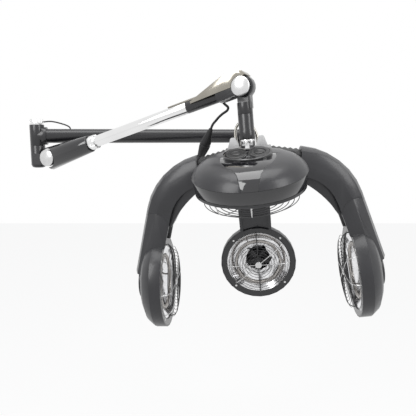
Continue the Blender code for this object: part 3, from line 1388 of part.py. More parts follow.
def hood_cables(frame, materials):
    """Cable from the gland to the connector, the connector, and the tail to the arch."""
    upper = tube(frame, UPPER_CABLE, HOOD_CABLE_OD / 2)
    finish(upper, "hood_cable", materials["rubber"])
    top = Vector(CONNECTOR_TOP)
    bottom = Vector(CONNECTOR_BOTTOM)
    length = (bottom - top).length
    radius = CONNECTOR_OD / 2
    neck = HOOD_CABLE_OD / 2 + 0.002
    profile = ((0, 0.0), (neck, 0.0), (neck + 0.001, -length * 0.06), (radius * 0.62, -length * 0.2),
               (radius * 0.95, -length * 0.44),
               (radius * 0.93, -length * 0.50), (radius * 0.84, -length * 0.51), (radius * 0.84,
                                                                                  -length * 0.53),
               (radius, -length * 0.54), (radius * 0.97, -length * 0.62), (radius * 0.62, -length * 0.97),
               (radius * 0.5, -length), (0, -length))
    turn = (top - bottom).to_track_quat("Z", "Y").to_matrix().to_4x4()
    body = turned(frame, profile, Matrix.Translation(top) @ turn, 20)
    finish(body, "cable_connector", materials["rubber"])
    lower = tube(frame, LOWER_CABLE, HOOD_CABLE_OD / 2)
    finish(lower, "hood_cable_tail", materials["rubber"])


# The cable's points, in the stem's coordinates
UPPER_CABLE = (
    (-0.0521, 0.0000, -0.0299),
    (-0.0480, 0.0003, -0.0345),
    (-0.0420, 0.0020, -0.0415),
    (-0.0467, 0.0060, -0.0485),
    (-0.0589, 0.0100, -0.0536),
    (-0.0717, 0.0150, -0.0603),
    (-0.0822, 0.0200, -0.0674),
    (-0.0920, 0.0275, -0.0730),
    (-0.0993, 0.0343, -0.0784),
    (-0.10394, 0.03691, -0.08526),
)
CONNECTOR_TOP = (-0.1041, 0.0370, -0.0855)
CONNECTOR_BOTTOM = (-0.1512, 0.0630, -0.1548)
LOWER_CABLE = (
    (-0.15136, 0.06309, -0.15504),
    (-0.1560, 0.0657, -0.1619),
    (-0.1582, 0.0730, -0.1700),
    (-0.1500, 0.0830, -0.1735),
    (-0.1354, 0.0885, -0.1720),
    (-0.1133, 0.0900, -0.1680),
    (-0.0911, 0.0911, -0.1653),
    (-0.0796, 0.0944, -0.1653),
    (-0.0662, 0.0983, -0.1653),
)


# ---------------------------------------------------------------- assembly

def make_materials():
    """Finishes of the product."""
    return {
        "black_paint": make_material("black_paint", (0.012, 0.012, 0.014), 0.32, 0.0),
        "satin_black": make_material("satin_black", (0.020, 0.020, 0.024), 0.42, 0.0),
        "black_gloss": make_material("black_gloss", (0.006, 0.006, 0.008), 0.08, 0.0),
        "rubber": make_material("rubber", (0.02, 0.02, 0.02), 0.7, 0.0),
        "chrome": make_material("chrome", (0.80, 0.80, 0.82), 0.08, 1.0),
        "mirror": make_material("mirror", (0.85, 0.85, 0.87), 0.10, 1.0),
        "satin_silver": make_material("satin_silver", (0.72, 0.72, 0.74), 0.28, 1.0),
        "steel": make_material("steel", (0.50, 0.50, 0.52), 0.35, 1.0),
        "warm_grey": make_material("warm_grey", (0.30, 0.28, 0.25), 0.16, 0.9),
        "light_grey": make_material("light_grey", (0.55, 0.55, 0.56), 0.40, 0.3),
        "heater": make_material("heater", (0.75, 0.75, 0.76), 0.20, 0.6),
        "motor": make_material("motor", (0.05, 0.05, 0.05), 0.50, 0.6),
        "fan": make_material("fan", (0.03, 0.03, 0.03), 0.45, 0.0),
    }


def main():
    """Build the whole product."""
    clear_scene()
    make_collections()
    materials = make_materials()

    wall = Frame("wall")
    wall_bracket(wall, materials)
    wall_arm = Frame("wall_arm_axis", wall, (0, WALL_AXIS_Y, TUBE_Z), (0, 0, WALL_ARM_AZIMUTH))
    wall_arm_tube(wall_arm, materials)
    elbow_cable(wall_arm, materials)
    elbow = Frame("elbow_axis", wall_arm, (WALL_ARM_LENGTH, 0, 0),
                  (0, 0, SPRING_ARM_AZIMUTH - WALL_ARM_AZIMUTH))
    elbow_pieces(elbow, materials)
    lift = Frame("lift_axis", elbow, (KNUCKLE_REACH, 0, -KNUCKLE_DROP), (0, -SPRING_ARM_LIFT, 0))
    arm_spar(lift, materials)
    arm_covers(lift, materials)
    balance_spring(lift, materials)
    arm_fairing(lift, materials)
    cable_grommet(lift, materials)
    fork = EYE_HALF + 0.001 + FORK_CHEEK_THICKNESS
    bolt = pivot_bolt(lift, STEM_PIVOT_HEAD_OD, fork, (ARM_LENGTH, 0, 0))
    finish(bolt, "stem_pivot_bolt", materials["satin_silver"])
    stem = Frame("stem_axis", lift, (ARM_LENGTH, 0, 0), (0, SPRING_ARM_LIFT + STEM_LEAN, 0))
    stem_pieces(stem, materials)
    hood_cables(stem, materials)
    swivel = Frame("swivel_axis", stem, (0, 0, -STEM_LENGTH), (0, 0, HOOD_TURN))
    swivel_block(swivel, materials)
    swivel_bail(swivel, materials)
    hood = Frame("hood_axis", swivel, (0, 0, 0), (HOOD_PITCH, 0, 0), origin=(0, TILT_Y, TILT_Z))
    hood_saddle(hood, materials)
    arch_frame(hood, materials)
    turret(hood, materials)
    bellows(hood, -1, "left_bellows", materials)
    bellows(hood, 1, "right_bellows", materials)
    dome_place = (0, DOME_Y, 0)
    dome = Frame("dome_tilt", hood, dome_place, (DOME_PITCH, 0, 0))
    dome_matrix = Matrix.Translation(dome_place) @ Matrix.Rotation(DOME_PITCH, 4, "X")
    dome.empty.matrix_basis = Matrix.Translation(-hood.origin) @ dome_matrix
    build_dome(hood, dome, dome_matrix, materials)

    for side, name, turn in ((1, "right", 0.0), (-1, "left", math.pi)):
        hinge = (side * ARM_HINGE_X, 0, ARM_HINGE_Z)
        arm = Frame(name + "_arm_axis", hood, hinge, (0, 0, turn), origin=(ARM_HINGE_X, 0, ARM_HINGE_Z))
        side_arm(arm, name, materials)
        head(name, arm, 0.0, materials)
    rear = Frame("rear_arm_mount", hood, (0, 0, 0), (0, 0, math.pi / 2))
    rear_arm(rear, materials)
    head("rear", rear, REAR_DROP, materials)


def build_dome(hood, dome, dome_matrix, materials):
    """Covers and insides of the dome."""
    dome.placed = dome_matrix
    dome_covers(hood, dome, materials)
    dome_insides(dome, materials)


main()
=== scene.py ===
"""Hood dryer with three swinging heads on a folding wall arm: the finished look.

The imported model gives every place: each sub-assembly works in the local frame
of the joint that carries it, and every new piece rides on that joint's body.
"""
import json
import logging
import math
from dataclasses import dataclass
from enum import Enum

import bpy
from mathutils import Matrix, Vector


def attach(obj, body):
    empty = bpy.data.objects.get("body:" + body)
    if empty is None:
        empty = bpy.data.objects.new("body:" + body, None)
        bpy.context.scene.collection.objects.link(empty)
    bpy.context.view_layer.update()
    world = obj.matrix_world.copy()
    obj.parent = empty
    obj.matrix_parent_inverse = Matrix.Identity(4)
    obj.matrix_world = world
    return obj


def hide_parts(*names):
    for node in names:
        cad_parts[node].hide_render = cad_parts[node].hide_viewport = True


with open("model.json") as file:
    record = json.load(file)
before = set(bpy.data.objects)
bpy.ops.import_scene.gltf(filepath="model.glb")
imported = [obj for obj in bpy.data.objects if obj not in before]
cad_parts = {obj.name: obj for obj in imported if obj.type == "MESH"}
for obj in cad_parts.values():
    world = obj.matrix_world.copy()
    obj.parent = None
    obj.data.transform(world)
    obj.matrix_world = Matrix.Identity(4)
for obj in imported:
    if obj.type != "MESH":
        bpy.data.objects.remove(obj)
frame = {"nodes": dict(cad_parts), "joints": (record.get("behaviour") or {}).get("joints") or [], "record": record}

LOG = logging.getLogger("hood_dryer")
JOINTS = {joint["name"]: joint for joint in frame["joints"]}
BODY_OF = {
    node: body
    for body, nodes in frame["record"]["behaviour"]["bodies"].items()
    for node in nodes
}
FULL_TURN = 2 * math.pi
MERGE_DISTANCE = 1e-5
Profile = list[tuple[float, float]]
Point = tuple[float, float, float]


# ---------------------------------------------------------------- finishes

class Grain(Enum):
    """How the fine pattern of a finish runs over the surface."""

    EVEN = (1.0, 1.0, 1.0)
    BRUSHED = (1.0, 14.0, 14.0)


CLOUD_SCALE = 22.0
CLOUD_DETAIL = 4.0
FINE_DETAIL = 3.0
NOISE_LOW = 0.3
NOISE_HIGH = 0.7
COAT_ROUGHNESS = 0.04
LEAST_ROUGHNESS = 0.02
BUMP_STRENGTH = 0.6


@dataclass(frozen=True)
class Finish:
    """One surface finish: its colour, gloss and fine pattern.

    Attributes:
        slot: The material slot of the record that the finish belongs to; not used.
        colour: Plain colour of the surface, linear.
        roughness: Middle value of the roughness.
        metallic: 1 for bare metal, 0 for paint and plastic.
        coat: Weight of the clear coat.
        mottle: Share by which the colour varies in soft clouds.
        spread: How far the roughness varies on either side.
        grain: Cells of the fine pattern in a metre.
        bump: Height of the fine pattern in metres.
        run: Which way the fine pattern runs.
    """

    slot: str
    colour: tuple[float, float, float]
    roughness: float
    metallic: float = 0.0
    coat: float = 0.0
    mottle: float = 0.12
    spread: float = 0.05
    grain: float = 900.0
    bump: float = 0.00002
    run: Grain = Grain.EVEN

    def material(self, name: str) -> bpy.types.Material:
        """Build the node material.

        Args:
            name: Name of the material.

        Returns:
            The new material.
        """
        made = bpy.data.materials.new(name)
        made.use_nodes = True
        nodes, links = made.node_tree.nodes, made.node_tree.links
        shader = nodes["Principled BSDF"]
        shader.inputs["Metallic"].default_value = self.metallic
        shader.inputs["Coat Weight"].default_value = self.coat
        shader.inputs["Coat Roughness"].default_value = COAT_ROUGHNESS
        place = nodes.new("ShaderNodeTexCoord")
        stretch = nodes.new("ShaderNodeMapping")
        stretch.inputs["Scale"].default_value = self.run.value
        links.new(place.outputs["Object"], stretch.inputs["Vector"])
        clouds = nodes.new("ShaderNodeTexNoise")
        clouds.inputs["Scale"].default_value = CLOUD_SCALE
        clouds.inputs["Detail"].default_value = CLOUD_DETAIL
        links.new(place.outputs["Object"], clouds.inputs["Vector"])
        fine = nodes.new("ShaderNodeTexNoise")
        fine.inputs["Scale"].default_value = self.grain
        fine.inputs["Detail"].default_value = FINE_DETAIL
        links.new(stretch.outputs["Vector"], fine.inputs["Vector"])
        ramp = nodes.new("ShaderNodeValToRGB")
        low = [c * (1 - self.mottle) for c in self.colour]
        high = [min(c * (1 + self.mottle), 1.0) for c in self.colour]
        ramp.color_ramp.elements[0].position = NOISE_LOW
        ramp.color_ramp.elements[0].color = (*low, 1.0)
        ramp.color_ramp.elements[1].position = NOISE_HIGH
        ramp.color_ramp.elements[1].color = (*high, 1.0)
        links.new(clouds.outputs["Fac"], ramp.inputs["Fac"])
        links.new(ramp.outputs["Color"], shader.inputs["Base Color"])
        rough = nodes.new("ShaderNodeMapRange")
        rough.inputs["From Min"].default_value = NOISE_LOW
        rough.inputs["From Max"].default_value = NOISE_HIGH
        rough.inputs["To Min"].default_value = max(self.roughness - self.spread, LEAST_ROUGHNESS)
        rough.inputs["To Max"].default_value = self.roughness + self.spread
        links.new(fine.outputs["Fac"], rough.inputs["Value"])
        links.new(rough.outputs["Result"], shader.inputs["Roughness"])
        bump = nodes.new("ShaderNodeBump")
        bump.inputs["Strength"].default_value = BUMP_STRENGTH
        bump.inputs["Distance"].default_value = self.bump
        links.new(fine.outputs["Fac"], bump.inputs["Height"])
        links.new(bump.outputs["Normal"], shader.inputs["Normal"])
        return made


FINISHES = {
    "bail_wire": Finish("bail_wire", (0.62, 0.60, 0.55), 0.26, 1.0, run=Grain.BRUSHED),
    "black_gloss": Finish("black_gloss", (0.006, 0.006, 0.008), 0.10, coat=0.8,
                          bump=0.000003, spread=0.03),
    "black_paint": Finish("black_paint", (0.010, 0.010, 0.012), 0.30, coat=0.25, grain=600.0),
    "cap_black": Finish("cap_black", (0.012, 0.012, 0.013), 0.34, coat=0.15),
    "chrome": Finish("chrome", (0.80, 0.80, 0.80), 0.07, 1.0, bump=0.000002, spread=0.02, mottle=0.03),
    "fan": Finish("fan", (0.02, 0.02, 0.022), 0.45),
    "guard_wire": Finish("guard_wire", (0.012, 0.012, 0.014), 0.32, coat=0.3),
    "heater": Finish("heater", (0.42, 0.40, 0.38), 0.35, 1.0, run=Grain.BRUSHED),
    "light_grey": Finish("light_grey", (0.52, 0.52, 0.52), 0.40, 0.3, grain=700.0),
    "mirror": Finish("mirror", (0.80, 0.80, 0.81), 0.12, 1.0, mottle=0.05,
                     spread=0.05, bump=0.00003, grain=160.0),
    "motor": Finish("motor", (0.02, 0.02, 0.022), 0.5, 0.3),
    "rubber": Finish("rubber", (0.014, 0.014, 0.015), 0.62, bump=0.00006, grain=1400.0),
    "satin_black": Finish("satin_black", (0.018, 0.018, 0.021), 0.36, coat=0.12,
                          bump=0.00004, grain=1500.0),
    "satin_silver": Finish("satin_silver", (0.66, 0.66, 0.66), 0.28, 1.0, run=Grain.BRUSHED),
    "steel": Finish("steel", (0.5, 0.5, 0.5), 0.32, 1.0, run=Grain.BRUSHED),
    "warm_grey": Finish("warm_grey", (0.34, 0.32, 0.28), 0.17, 0.9, bump=0.000004, spread=0.03),
}
MATERIALS = {name: finish.material(name) for name, finish in FINISHES.items()}


# ---------------------------------------------------------------- places

def local_frame(origin: Vector, x: Vector, y: Vector, z: Vector) -> Matrix:
    """Make a frame from its origin and its three directions.

    Args:
        origin: Where the frame's zero is, in the world.
        x: Direction of its X axis.
        y: Direction of its Y axis.
        z: Direction of its Z axis.

    Returns:
        Matrix from the local frame to the world.
    """
    made = Matrix((x.normalized(), y.normalized(), z.normalized())).transposed().to_4x4()
    made.translation = origin
    return made


def joint_place(name: str) -> tuple[Vector, Vector]:
    """Return the position and axis of a joint."""
    return Vector(JOINTS[name]["pos_m"]), Vector(JOINTS[name]["axis"]).normalized()


def head_frame(side: str) -> Matrix:
    """Frame of a head: Z out of its back, X down its face.

    Args:
        side: left, right or rear.

    Returns:
        Matrix from the head's frame to the world.
    """
    origin, z = joint_place(f"{side}_fan_spin")
    y = -joint_place(f"{side}_head_tilt")[1]
    y = (y - z * y.dot(z)).normalized()
    return local_frame(origin, y.cross(z), y, z)


def dome_frame() -> Matrix:
    """Frame of the dome, Z up its axis."""
    origin, z = joint_place("dome_fan_spin")
    x = joint_place("hood_tilt")[1]
    x = (x - z * x.dot(z)).normalized()
    return local_frame(origin, x, z.cross(x), z)


def stem_frame() -> Matrix:
    """Frame of the stem, Z up along it and Y along the pivot bolt."""
    origin, y = joint_place("stem_pivot")
    z = joint_place("hood_swivel")[1]
    return local_frame(origin, y.cross(z), y, z)


def wall_arm_frame() -> Matrix:
    """Frame of the wall arm, X along its tube."""
    origin = joint_place("wall_swivel")[0]
    x = (joint_place("elbow_swivel")[0] - origin).normalized()
    z = Vector((0, 0, 1))
    return local_frame(origin, x, z.cross(x), z)


# ---------------------------------------------------------------- modelling

WIRE_SMOOTHING = 50.0


def deselect() -> None:
    """Deselect everything."""
    bpy.ops.object.select_all(action="DESELECT")


def only(piece: bpy.types.Object) -> None:
    """Select one object and make it active."""
    deselect()
    piece.select_set(True)
    bpy.context.view_layer.objects.active = piece


def smooth(piece: bpy.types.Object, degrees: float = 32.0) -> None:
    """Shade an object smooth, with its sharp edges kept."""
    only(piece)
    bpy.ops.object.shade_smooth_by_angle(angle=math.radians(degrees))


def bevel(piece: bpy.types.Object, width: float, segments: int = 2, degrees: float = 34.0) -> None:
    """Round the sharp edges of a piece.

    Args:
        piece: The object.
        width: Width of the rounding in metres.
        segments: Faces across the rounding.
        degrees: Edges flatter than this stay.
    """
    modifier = piece.modifiers.new("edges", "BEVEL")
    modifier.width = width
    modifier.segments = segments
    modifier.limit_method = "ANGLE"
    modifier.angle_limit = math.radians(degrees)
    modifier.use_clamp_overlap = True
    only(piece)
    bpy.ops.object.modifier_apply(modifier="edges")


def from_points(name: str, points: list[Vector], edges: list[tuple[int, int]]) -> bpy.types.Object:
    """Make an object whose mesh has only points and edges.

    Args:
        name: Name of the object.
        points: Its points.
        edges: Pairs of points that an edge joins.

    Returns:
        The new object.
    """
    mesh = bpy.data.meshes.new(name)
    mesh.from_pydata([tuple(p) for p in points], edges, [])
    made = bpy.data.objects.new(name, mesh)
    bpy.context.scene.collection.objects.link(made)
    return made


def lathe(name: str, profile: Profile, place: Matrix, steps: int = 64) -> bpy.types.Object:
    """Spin a profile about the local Z axis.

    Args:
        name: Name of the piece.
        profile: Points as (radius, height).
        place: Matrix from the local frame to the world.
        steps: Sides of the round.

    Returns:
        The new object, with its place in its mesh.
    """
    made = from_points(name, [Vector((r, 0, z)) for r, z in profile],
                       [(i, i + 1) for i in range(len(profile) - 1)])
    only(made)
    bpy.ops.object.mode_set(mode="EDIT")
    bpy.ops.mesh.select_all(action="SELECT")
    bpy.ops.mesh.spin(steps=steps, angle=FULL_TURN, center=(0, 0, 0), axis=(0, 0, 1))
    bpy.ops.mesh.select_all(action="SELECT")
    bpy.ops.mesh.remove_doubles(threshold=MERGE_DISTANCE / 10)
    bpy.ops.mesh.normals_make_consistent(inside=False)
    bpy.ops.object.mode_set(mode="OBJECT")
    made.data.transform(place)
    smooth(made)
    return made


def round_curve(name: str, points: list[Vector], radius: float, sides: int) -> bpy.types.Object:
    """Make a curve with a round section along points.

    Args:
        name: Name of the curve.
        points: Its middle line.
        radius: Radius of its section.
        sides: Roundness of its section.

    Returns:
        The new curve object, with one open spline.
    """
    curve = bpy.data.curves.new(name, "CURVE")
    curve.dimensions = "3D"
    curve.bevel_depth = radius
    curve.bevel_resolution = sides
    curve.use_fill_caps = True
    spline = curve.splines.new("POLY")
    spline.points.add(len(points) - 1)
    for knot, point in zip(spline.points, points):
        knot.co = (*point, 1.0)
    made = bpy.data.objects.new(name, curve)
    bpy.context.scene.collection.objects.link(made)
    return made


def wire(name: str, points: list[Vector], radius: float, closed: bool, place: Matrix,
         sides: int = 3) -> bpy.types.Object:
    """Bend a round wire along points and make it a mesh.

    Args:
        name: Name of the piece.
        points: Middle line in the local frame.
        radius: Radius of the wire.
        closed: Whether the ends meet.
        place: Matrix from the local frame to the world.
        sides: Roundness of the wire's section.

    Returns:
        The new mesh object.
    """
    made = round_curve(name, points, radius, sides)
    made.data.splines[0].use_cyclic_u = closed
    only(made)
    bpy.ops.object.convert(target="MESH")
    made = bpy.context.view_layer.objects.active
    made.data.transform(place)
    smooth(made, WIRE_SMOOTHING)
    return made


def circle(radius: float, height: float, steps: int = 72) -> list[Vector]:
    """Work out points round a circle about the local Z axis.

    Args:
        radius: Radius of the circle.
        height: Its height along the axis.
        steps: How many points it has.

    Returns:
        The points in order.
    """
    turns = (FULL_TURN * index / steps for index in range(steps))
    return [Vector((radius * math.cos(turn), radius * math.sin(turn), height)) for turn in turns]


def smooth_route(points: list[Point], steps: int) -> list[Vector]:
    """Draw a smooth curve through a cord's own points.

    Args:
        points: The cord's points in order.
        steps: How many stretches lie between two of them.

    Returns:
        Points along the curve.
    """
    knots = [Vector(point) for point in points]
    knots = [2 * knots[0] - knots[1], *knots, 2 * knots[-1] - knots[-2]]
    route = []
    for before, start, end, after in zip(knots, knots[1:], knots[2:], knots[3:]):
        for step in range(steps):
            t = step / steps
            blend = 2 * start + (end - before) * t
            blend += (2 * before - 5 * start + 4 * end - after) * t * t
            blend += (3 * start - before - 3 * end + after) * t ** 3
            route.append(blend / 2)
    route.append(knots[-2])
    return route


def joined(name: str, pieces: list[bpy.types.Object]) -> bpy.types.Object:
    """Join objects into one.

    Args:
        name: Name of the whole.
        pieces: The objects, of which the first stays.

    Returns:
        The joined object.
    """
    deselect()
    for piece in pieces:
        piece.select_set(True)
    bpy.context.view_layer.objects.active = pieces[0]
    bpy.ops.object.join()
    pieces[0].name = name
    pieces[0].data.name = name
    return pieces[0]


def paint(piece: bpy.types.Object, material: str) -> bpy.types.Object:
    """Give a piece one material."""
    piece.data.materials.clear()
    piece.data.materials.append(MATERIALS[material])
    return piece


def fit(piece: bpy.types.Object, body: str, slot: str, *nodes: str) -> bpy.types.Object:
    """Ride a piece on its body and hide the nodes it stands for.

    Args:
        piece: The finished piece.
        body: The body that carries it.
        slot: The record's material slot; not used.
        *nodes: CAD nodes that the piece replaces.

    Returns:
        The piece.
    """
    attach(piece, body)
    if nodes:
        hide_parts(*nodes)
    LOG.info("%s rides on %s", piece.name, body)
    return piece


# ---------------------------------------------------------------- shells

FLAT_ANGLE = math.radians(0.5)


def slot_of(node: str) -> str:
    """Return the material slot of a solid."""
    return frame["nodes"][node].data.materials[0].name.split(".")[0]


@dataclass
class Casting:
    """A solid of the model as a finished casting: its edges rounded and its faces smooth.

    Attributes:
        node: The solid that it stands for.
        rounding: Width of the rounded edges, 0 for none.
        smoothing: Edges flatter than this, in degrees, are shaded smooth.
    """

    node: str
    rounding: float = 0.0006
    smoothing: float = 32.0

    def build(self) -> bpy.types.Object:
        """Model the casting and fit it to its body.

        Returns:
            The finished piece.
        """
        slot = slot_of(self.node)
        mesh = frame["nodes"][self.node].data.copy()
        mesh.name = f"{self.node}_cast"
        made = bpy.data.objects.new(f"{self.node}_cast", mesh)
        bpy.context.scene.collection.objects.link(made)
        only(made)
        bpy.ops.object.mode_set(mode="EDIT")
        bpy.ops.mesh.select_all(action="SELECT")
        bpy.ops.mesh.remove_doubles(threshold=MERGE_DISTANCE)
        bpy.ops.mesh.dissolve_limited(angle_limit=FLAT_ANGLE)
        bpy.ops.mesh.normals_make_consistent(inside=False)
        bpy.ops.object.mode_set(mode="OBJECT")
        if self.rounding:
            bevel(made, self.rounding)
        smooth(made, self.smoothing)
        paint(made, slot)
        return fit(made, BODY_OF[self.node], slot, self.node)


# ---------------------------------------------------------------- guards

BEZEL_SIDES = 96
HUB_SIDES = 40
RING_SIDES = 2
SPOKE_STEPS = 16
SCREW_SIDES = 20
FIRST_RING = 0.2
SCREW_PROFILE: Profile = [
    (0, -0.0003), (0.0008, -0.0003), (0.0009, -0.0012), (0.0022, -0.0010), (0.0032, -0.0003),
    (0.0034, 0.0004), (0, 0.0004),
]


@dataclass
class Guard:
    """Wire guard over a round opening, the heads' size by itself.

    It has a bezel, thin rings, dark and bright spokes, a hub and screws.

    Attributes:
        node: The guard of the model that it stands for.
        place: Frame of the opening.
        outer: Outer radius of the bezel.
        inner: Inner radius of the bezel.
        low: Front height of the bezel.
        high: Back height of the bezel.
        crown: Height of the hub.
        rings: Number of thin rings.
        gauge: Radius of the thin rings' wire.
        power: How boxy the basket is.
        hub: Radius of the hub.
        dark_gauge: Radius of the dark spokes' wire.
        bright_gauge: Radius of the bright spokes' wire.
        bright_lift: How far the bright spokes stand off the dark ones.
        spoke_start: Radius at which the spokes begin, under the hub.
        bezel_edge: Width of the bezel's rounded edges.
        overlap: How far the wires run into the bezel, and clear of the hub twice that.
        dark_angles: Directions of the dark spokes.
        bright_angles: Directions of the bright spokes.
        screws: Directions of the screws.
    """

    node: str
    place: Matrix
    outer: float = 0.1117
    inner: float = 0.096
    low: float = 0.0
    high: float = 0.004
    crown: float = -0.021
    rings: int = 10
    gauge: float = 0.0007
    power: float = 8.0
    hub: float = 0.0105
    dark_gauge: float = 0.0013
    bright_gauge: float = 0.0012
    bright_lift: float = 0.0002
    spoke_start: float = 0.006
    bezel_edge: float = 0.0006
    overlap: float = 0.002
    dark_angles: tuple[float, ...] = (0.0, math.pi)
    bright_angles: tuple[float, ...] = (math.pi / 2, -math.pi / 2, 0.9, 0.9 + math.pi)
    screws: tuple[float, ...] = (0.80, 2.40, 3.90, 5.45)

    def height(self, radius: float) -> float:
        """Return the height of the basket at a radius."""
        middle = (self.low + self.high) / 2
        share = min(radius / (self.inner + self.overlap), 1.0)
        return middle + (self.crown - middle) * math.sqrt(1.0 - share ** self.power)

    def spoke(self, angle: float, gauge: float, lift: float) -> bpy.types.Object:
        """Bend one spoke from the hub to the bezel.

        Args:
            angle: Its direction about the axis.
            gauge: Radius of its wire.
            lift: How far it stands off the rings.

        Returns:
            The spoke.
        """
        span = self.inner + self.overlap - self.spoke_start
        points = []
        for index in range(SPOKE_STEPS + 1):
            reach = self.spoke_start + span * math.sin(index / SPOKE_STEPS * math.pi / 2)
            points.append(Vector((reach * math.cos(angle), reach * math.sin(angle),
                                  self.height(reach) + lift)))
        return wire("spoke", points, gauge, False, self.place)

    def bezel(self) -> bpy.types.Object:
        """Turn the bezel, a ring with rounded front edges."""
        edge = self.bezel_edge
        return lathe(f"{self.node}_bezel", [
            (self.inner, self.high), (self.inner, self.low + edge), (self.inner + edge, self.low),
            (self.outer - edge, self.low), (self.outer, self.low + edge), (self.outer, self.high),
            (self.inner, self.high)], self.place, BEZEL_SIDES)

    def dark_wires(self) -> bpy.types.Object:
        """Bend the thin rings and the dark spokes.

        Returns:
            All of them as one object.
        """
        start = self.hub + 2 * self.overlap
        pitch = (self.inner - self.hub - 2 * self.overlap) / self.rings
        hoops = []
        for index in range(self.rings):
            radius = start + pitch * (index + FIRST_RING)
            hoops.append(wire("hoop", circle(radius, self.height(radius)), self.gauge, True, self.place,
                              RING_SIDES))
        spokes = [self.spoke(angle, self.dark_gauge, 0.0) for angle in self.dark_angles]
        return joined(f"{self.node}_rings", hoops + spokes)

    def bright_wires(self) -> bpy.types.Object:
        """Bend the bright spokes as one object."""
        return joined(f"{self.node}_spokes", [self.spoke(angle, self.bright_gauge, self.bright_lift)
                                              for angle in self.bright_angles])

    def boss(self) -> bpy.types.Object:
        """Turn the domed hub."""
        top = self.crown
        return lathe(f"{self.node}_hub", [
            (0, top - 0.0021), (self.hub * 0.55, top - 0.0019), (self.hub * 0.9, top - 0.0008),
            (self.hub, top + 0.0006), (self.hub, top + 0.0022), (0, top + 0.0022)],
            self.place, HUB_SIDES)

    def bezel_screws(self) -> bpy.types.Object:
        """Turn the screws, each a dished round head, and seat them on the bezel.

        Returns:
            All of them as one object.
        """
        middle = (self.outer + self.inner) / 2
        heads = []
        for angle in self.screws:
            spot = (middle * math.cos(angle), middle * math.sin(angle), self.low)
            seat = self.place @ Matrix.Translation(spot)
            heads.append(lathe("screw", SCREW_PROFILE, seat, SCREW_SIDES))
        return joined(f"{self.node}_screws", heads)

    def build(self) -> None:
        """Model the guard and fit it."""
        body = BODY_OF[self.node]
        fit(paint(self.bezel(), "guard_wire"), body, "guard_wire", self.node)
        fit(paint(self.dark_wires(), "guard_wire"), body, "guard_wire")
        for piece in (self.bright_wires(), self.boss(), self.bezel_screws()):
            fit(paint(piece, "satin_silver"), body, "satin_silver")


# ---------------------------------------------------------------- cables

ROUTE_STEPS = 4
CABLE_SIDES = 5


@dataclass
class Cable:
    """A short cable that leaves the object and goes back into it.

    Attributes:
        node: The solid that it stands for.
        place: Frame that its points are in.
        points: Middle line, in that frame.
        diameter: Outside diameter.
        far_end: What is on its far end; not used.
        extras: Separate pieces on it; not used.
    """

    node: str
    place: Matrix
    points: list[Point]
    diameter: float
    far_end: str = "object"
    extras: tuple[str, ...] = ()

    def build(self) -> bpy.types.Object:
        """Returns:
            The cable, a curve.
        """
        route = [self.place @ point for point in smooth_route(self.points, ROUTE_STEPS)]
        made = round_curve(f"{self.node}_flex", route, self.diameter / 2, CABLE_SIDES)
        made.data.splines[0].use_smooth = True
        made.data.materials.append(MATERIALS["rubber"])
        fit(made, BODY_OF[self.node], "rubber", self.node)
        return made


ELBOW_CABLE_DIAMETER = 0.004
HOOD_CABLE_DIAMETER = 0.006
ELBOW_CABLE = [(0.5878, 0.0, 0.0395), (0.570, 0.0, 0.0410), (0.556, 0.0, 0.0392), (0.5415, 0.0, 0.0355),
               (0.5275, 0.0, 0.0310), (0.5172, 0.0, 0.0255), (0.5144, 0.0, 0.0180),
               (0.5144, 0.0, 0.0100)]
UPPER_CABLE = [(-0.0521, 0.0, -0.0299), (-0.0480, 0.0003, -0.0345), (-0.0420, 0.0020, -0.0415),
               (-0.0467, 0.0060, -0.0485), (-0.0589, 0.0100, -0.0536), (-0.0717, 0.0150, -0.0603),
               (-0.0822, 0.0200, -0.0674), (-0.0920, 0.0275, -0.0730), (-0.0993, 0.0343, -0.0784),
               (-0.10394, 0.03691, -0.08526)]
LOWER_CABLE = [(-0.15136, 0.06309, -0.15504), (-0.1560, 0.0657, -0.1619), (-0.1582, 0.0730, -0.1700),
               (-0.1500, 0.0830, -0.1735), (-0.1354, 0.0885, -0.1720), (-0.1133, 0.0900, -0.1680),
               (-0.0911, 0.0911, -0.1653), (-0.0796, 0.0944, -0.1653), (-0.0662, 0.0983, -0.1653)]


# ---------------------------------------------------------------- studio

@dataclass(frozen=True)
class Lamp:
    """One soft lamp.

    Attributes:
        name: Name of the lamp.
        place: Where it hangs.
        aim: What it points at.
        size: Width and height of its face.
        watts: Its power.
    """

    name: str
    place: Point
    aim: Point
    size: tuple[float, float]
    watts: float

    def hang(self) -> None:
        """Add the lamp to the scene."""
        data = bpy.data.lights.new(self.name, "AREA")
        data.shape = "RECTANGLE"
        data.size, data.size_y = self.size
        data.energy = self.watts
        made = bpy.data.objects.new(self.name, data)
        bpy.context.scene.collection.objects.link(made)
        made.location = self.place
        made.rotation_euler = (Vector(self.aim) - Vector(self.place)).to_track_quat("-Z", "Y").to_euler()


LAMPS = (
    Lamp("window_left", (-1.3, -1.7, 1.1), (-0.1, -0.35, 0.0), (0.9, 1.4), 22),
    Lamp("window_right", (1.4, -1.5, 0.9), (0.0, -0.35, 0.0), (0.7, 1.4), 14),
    Lamp("ceiling", (-0.1, -0.5, 1.5), (-0.1, -0.4, 0.0), (1.6, 1.0), 16),
)


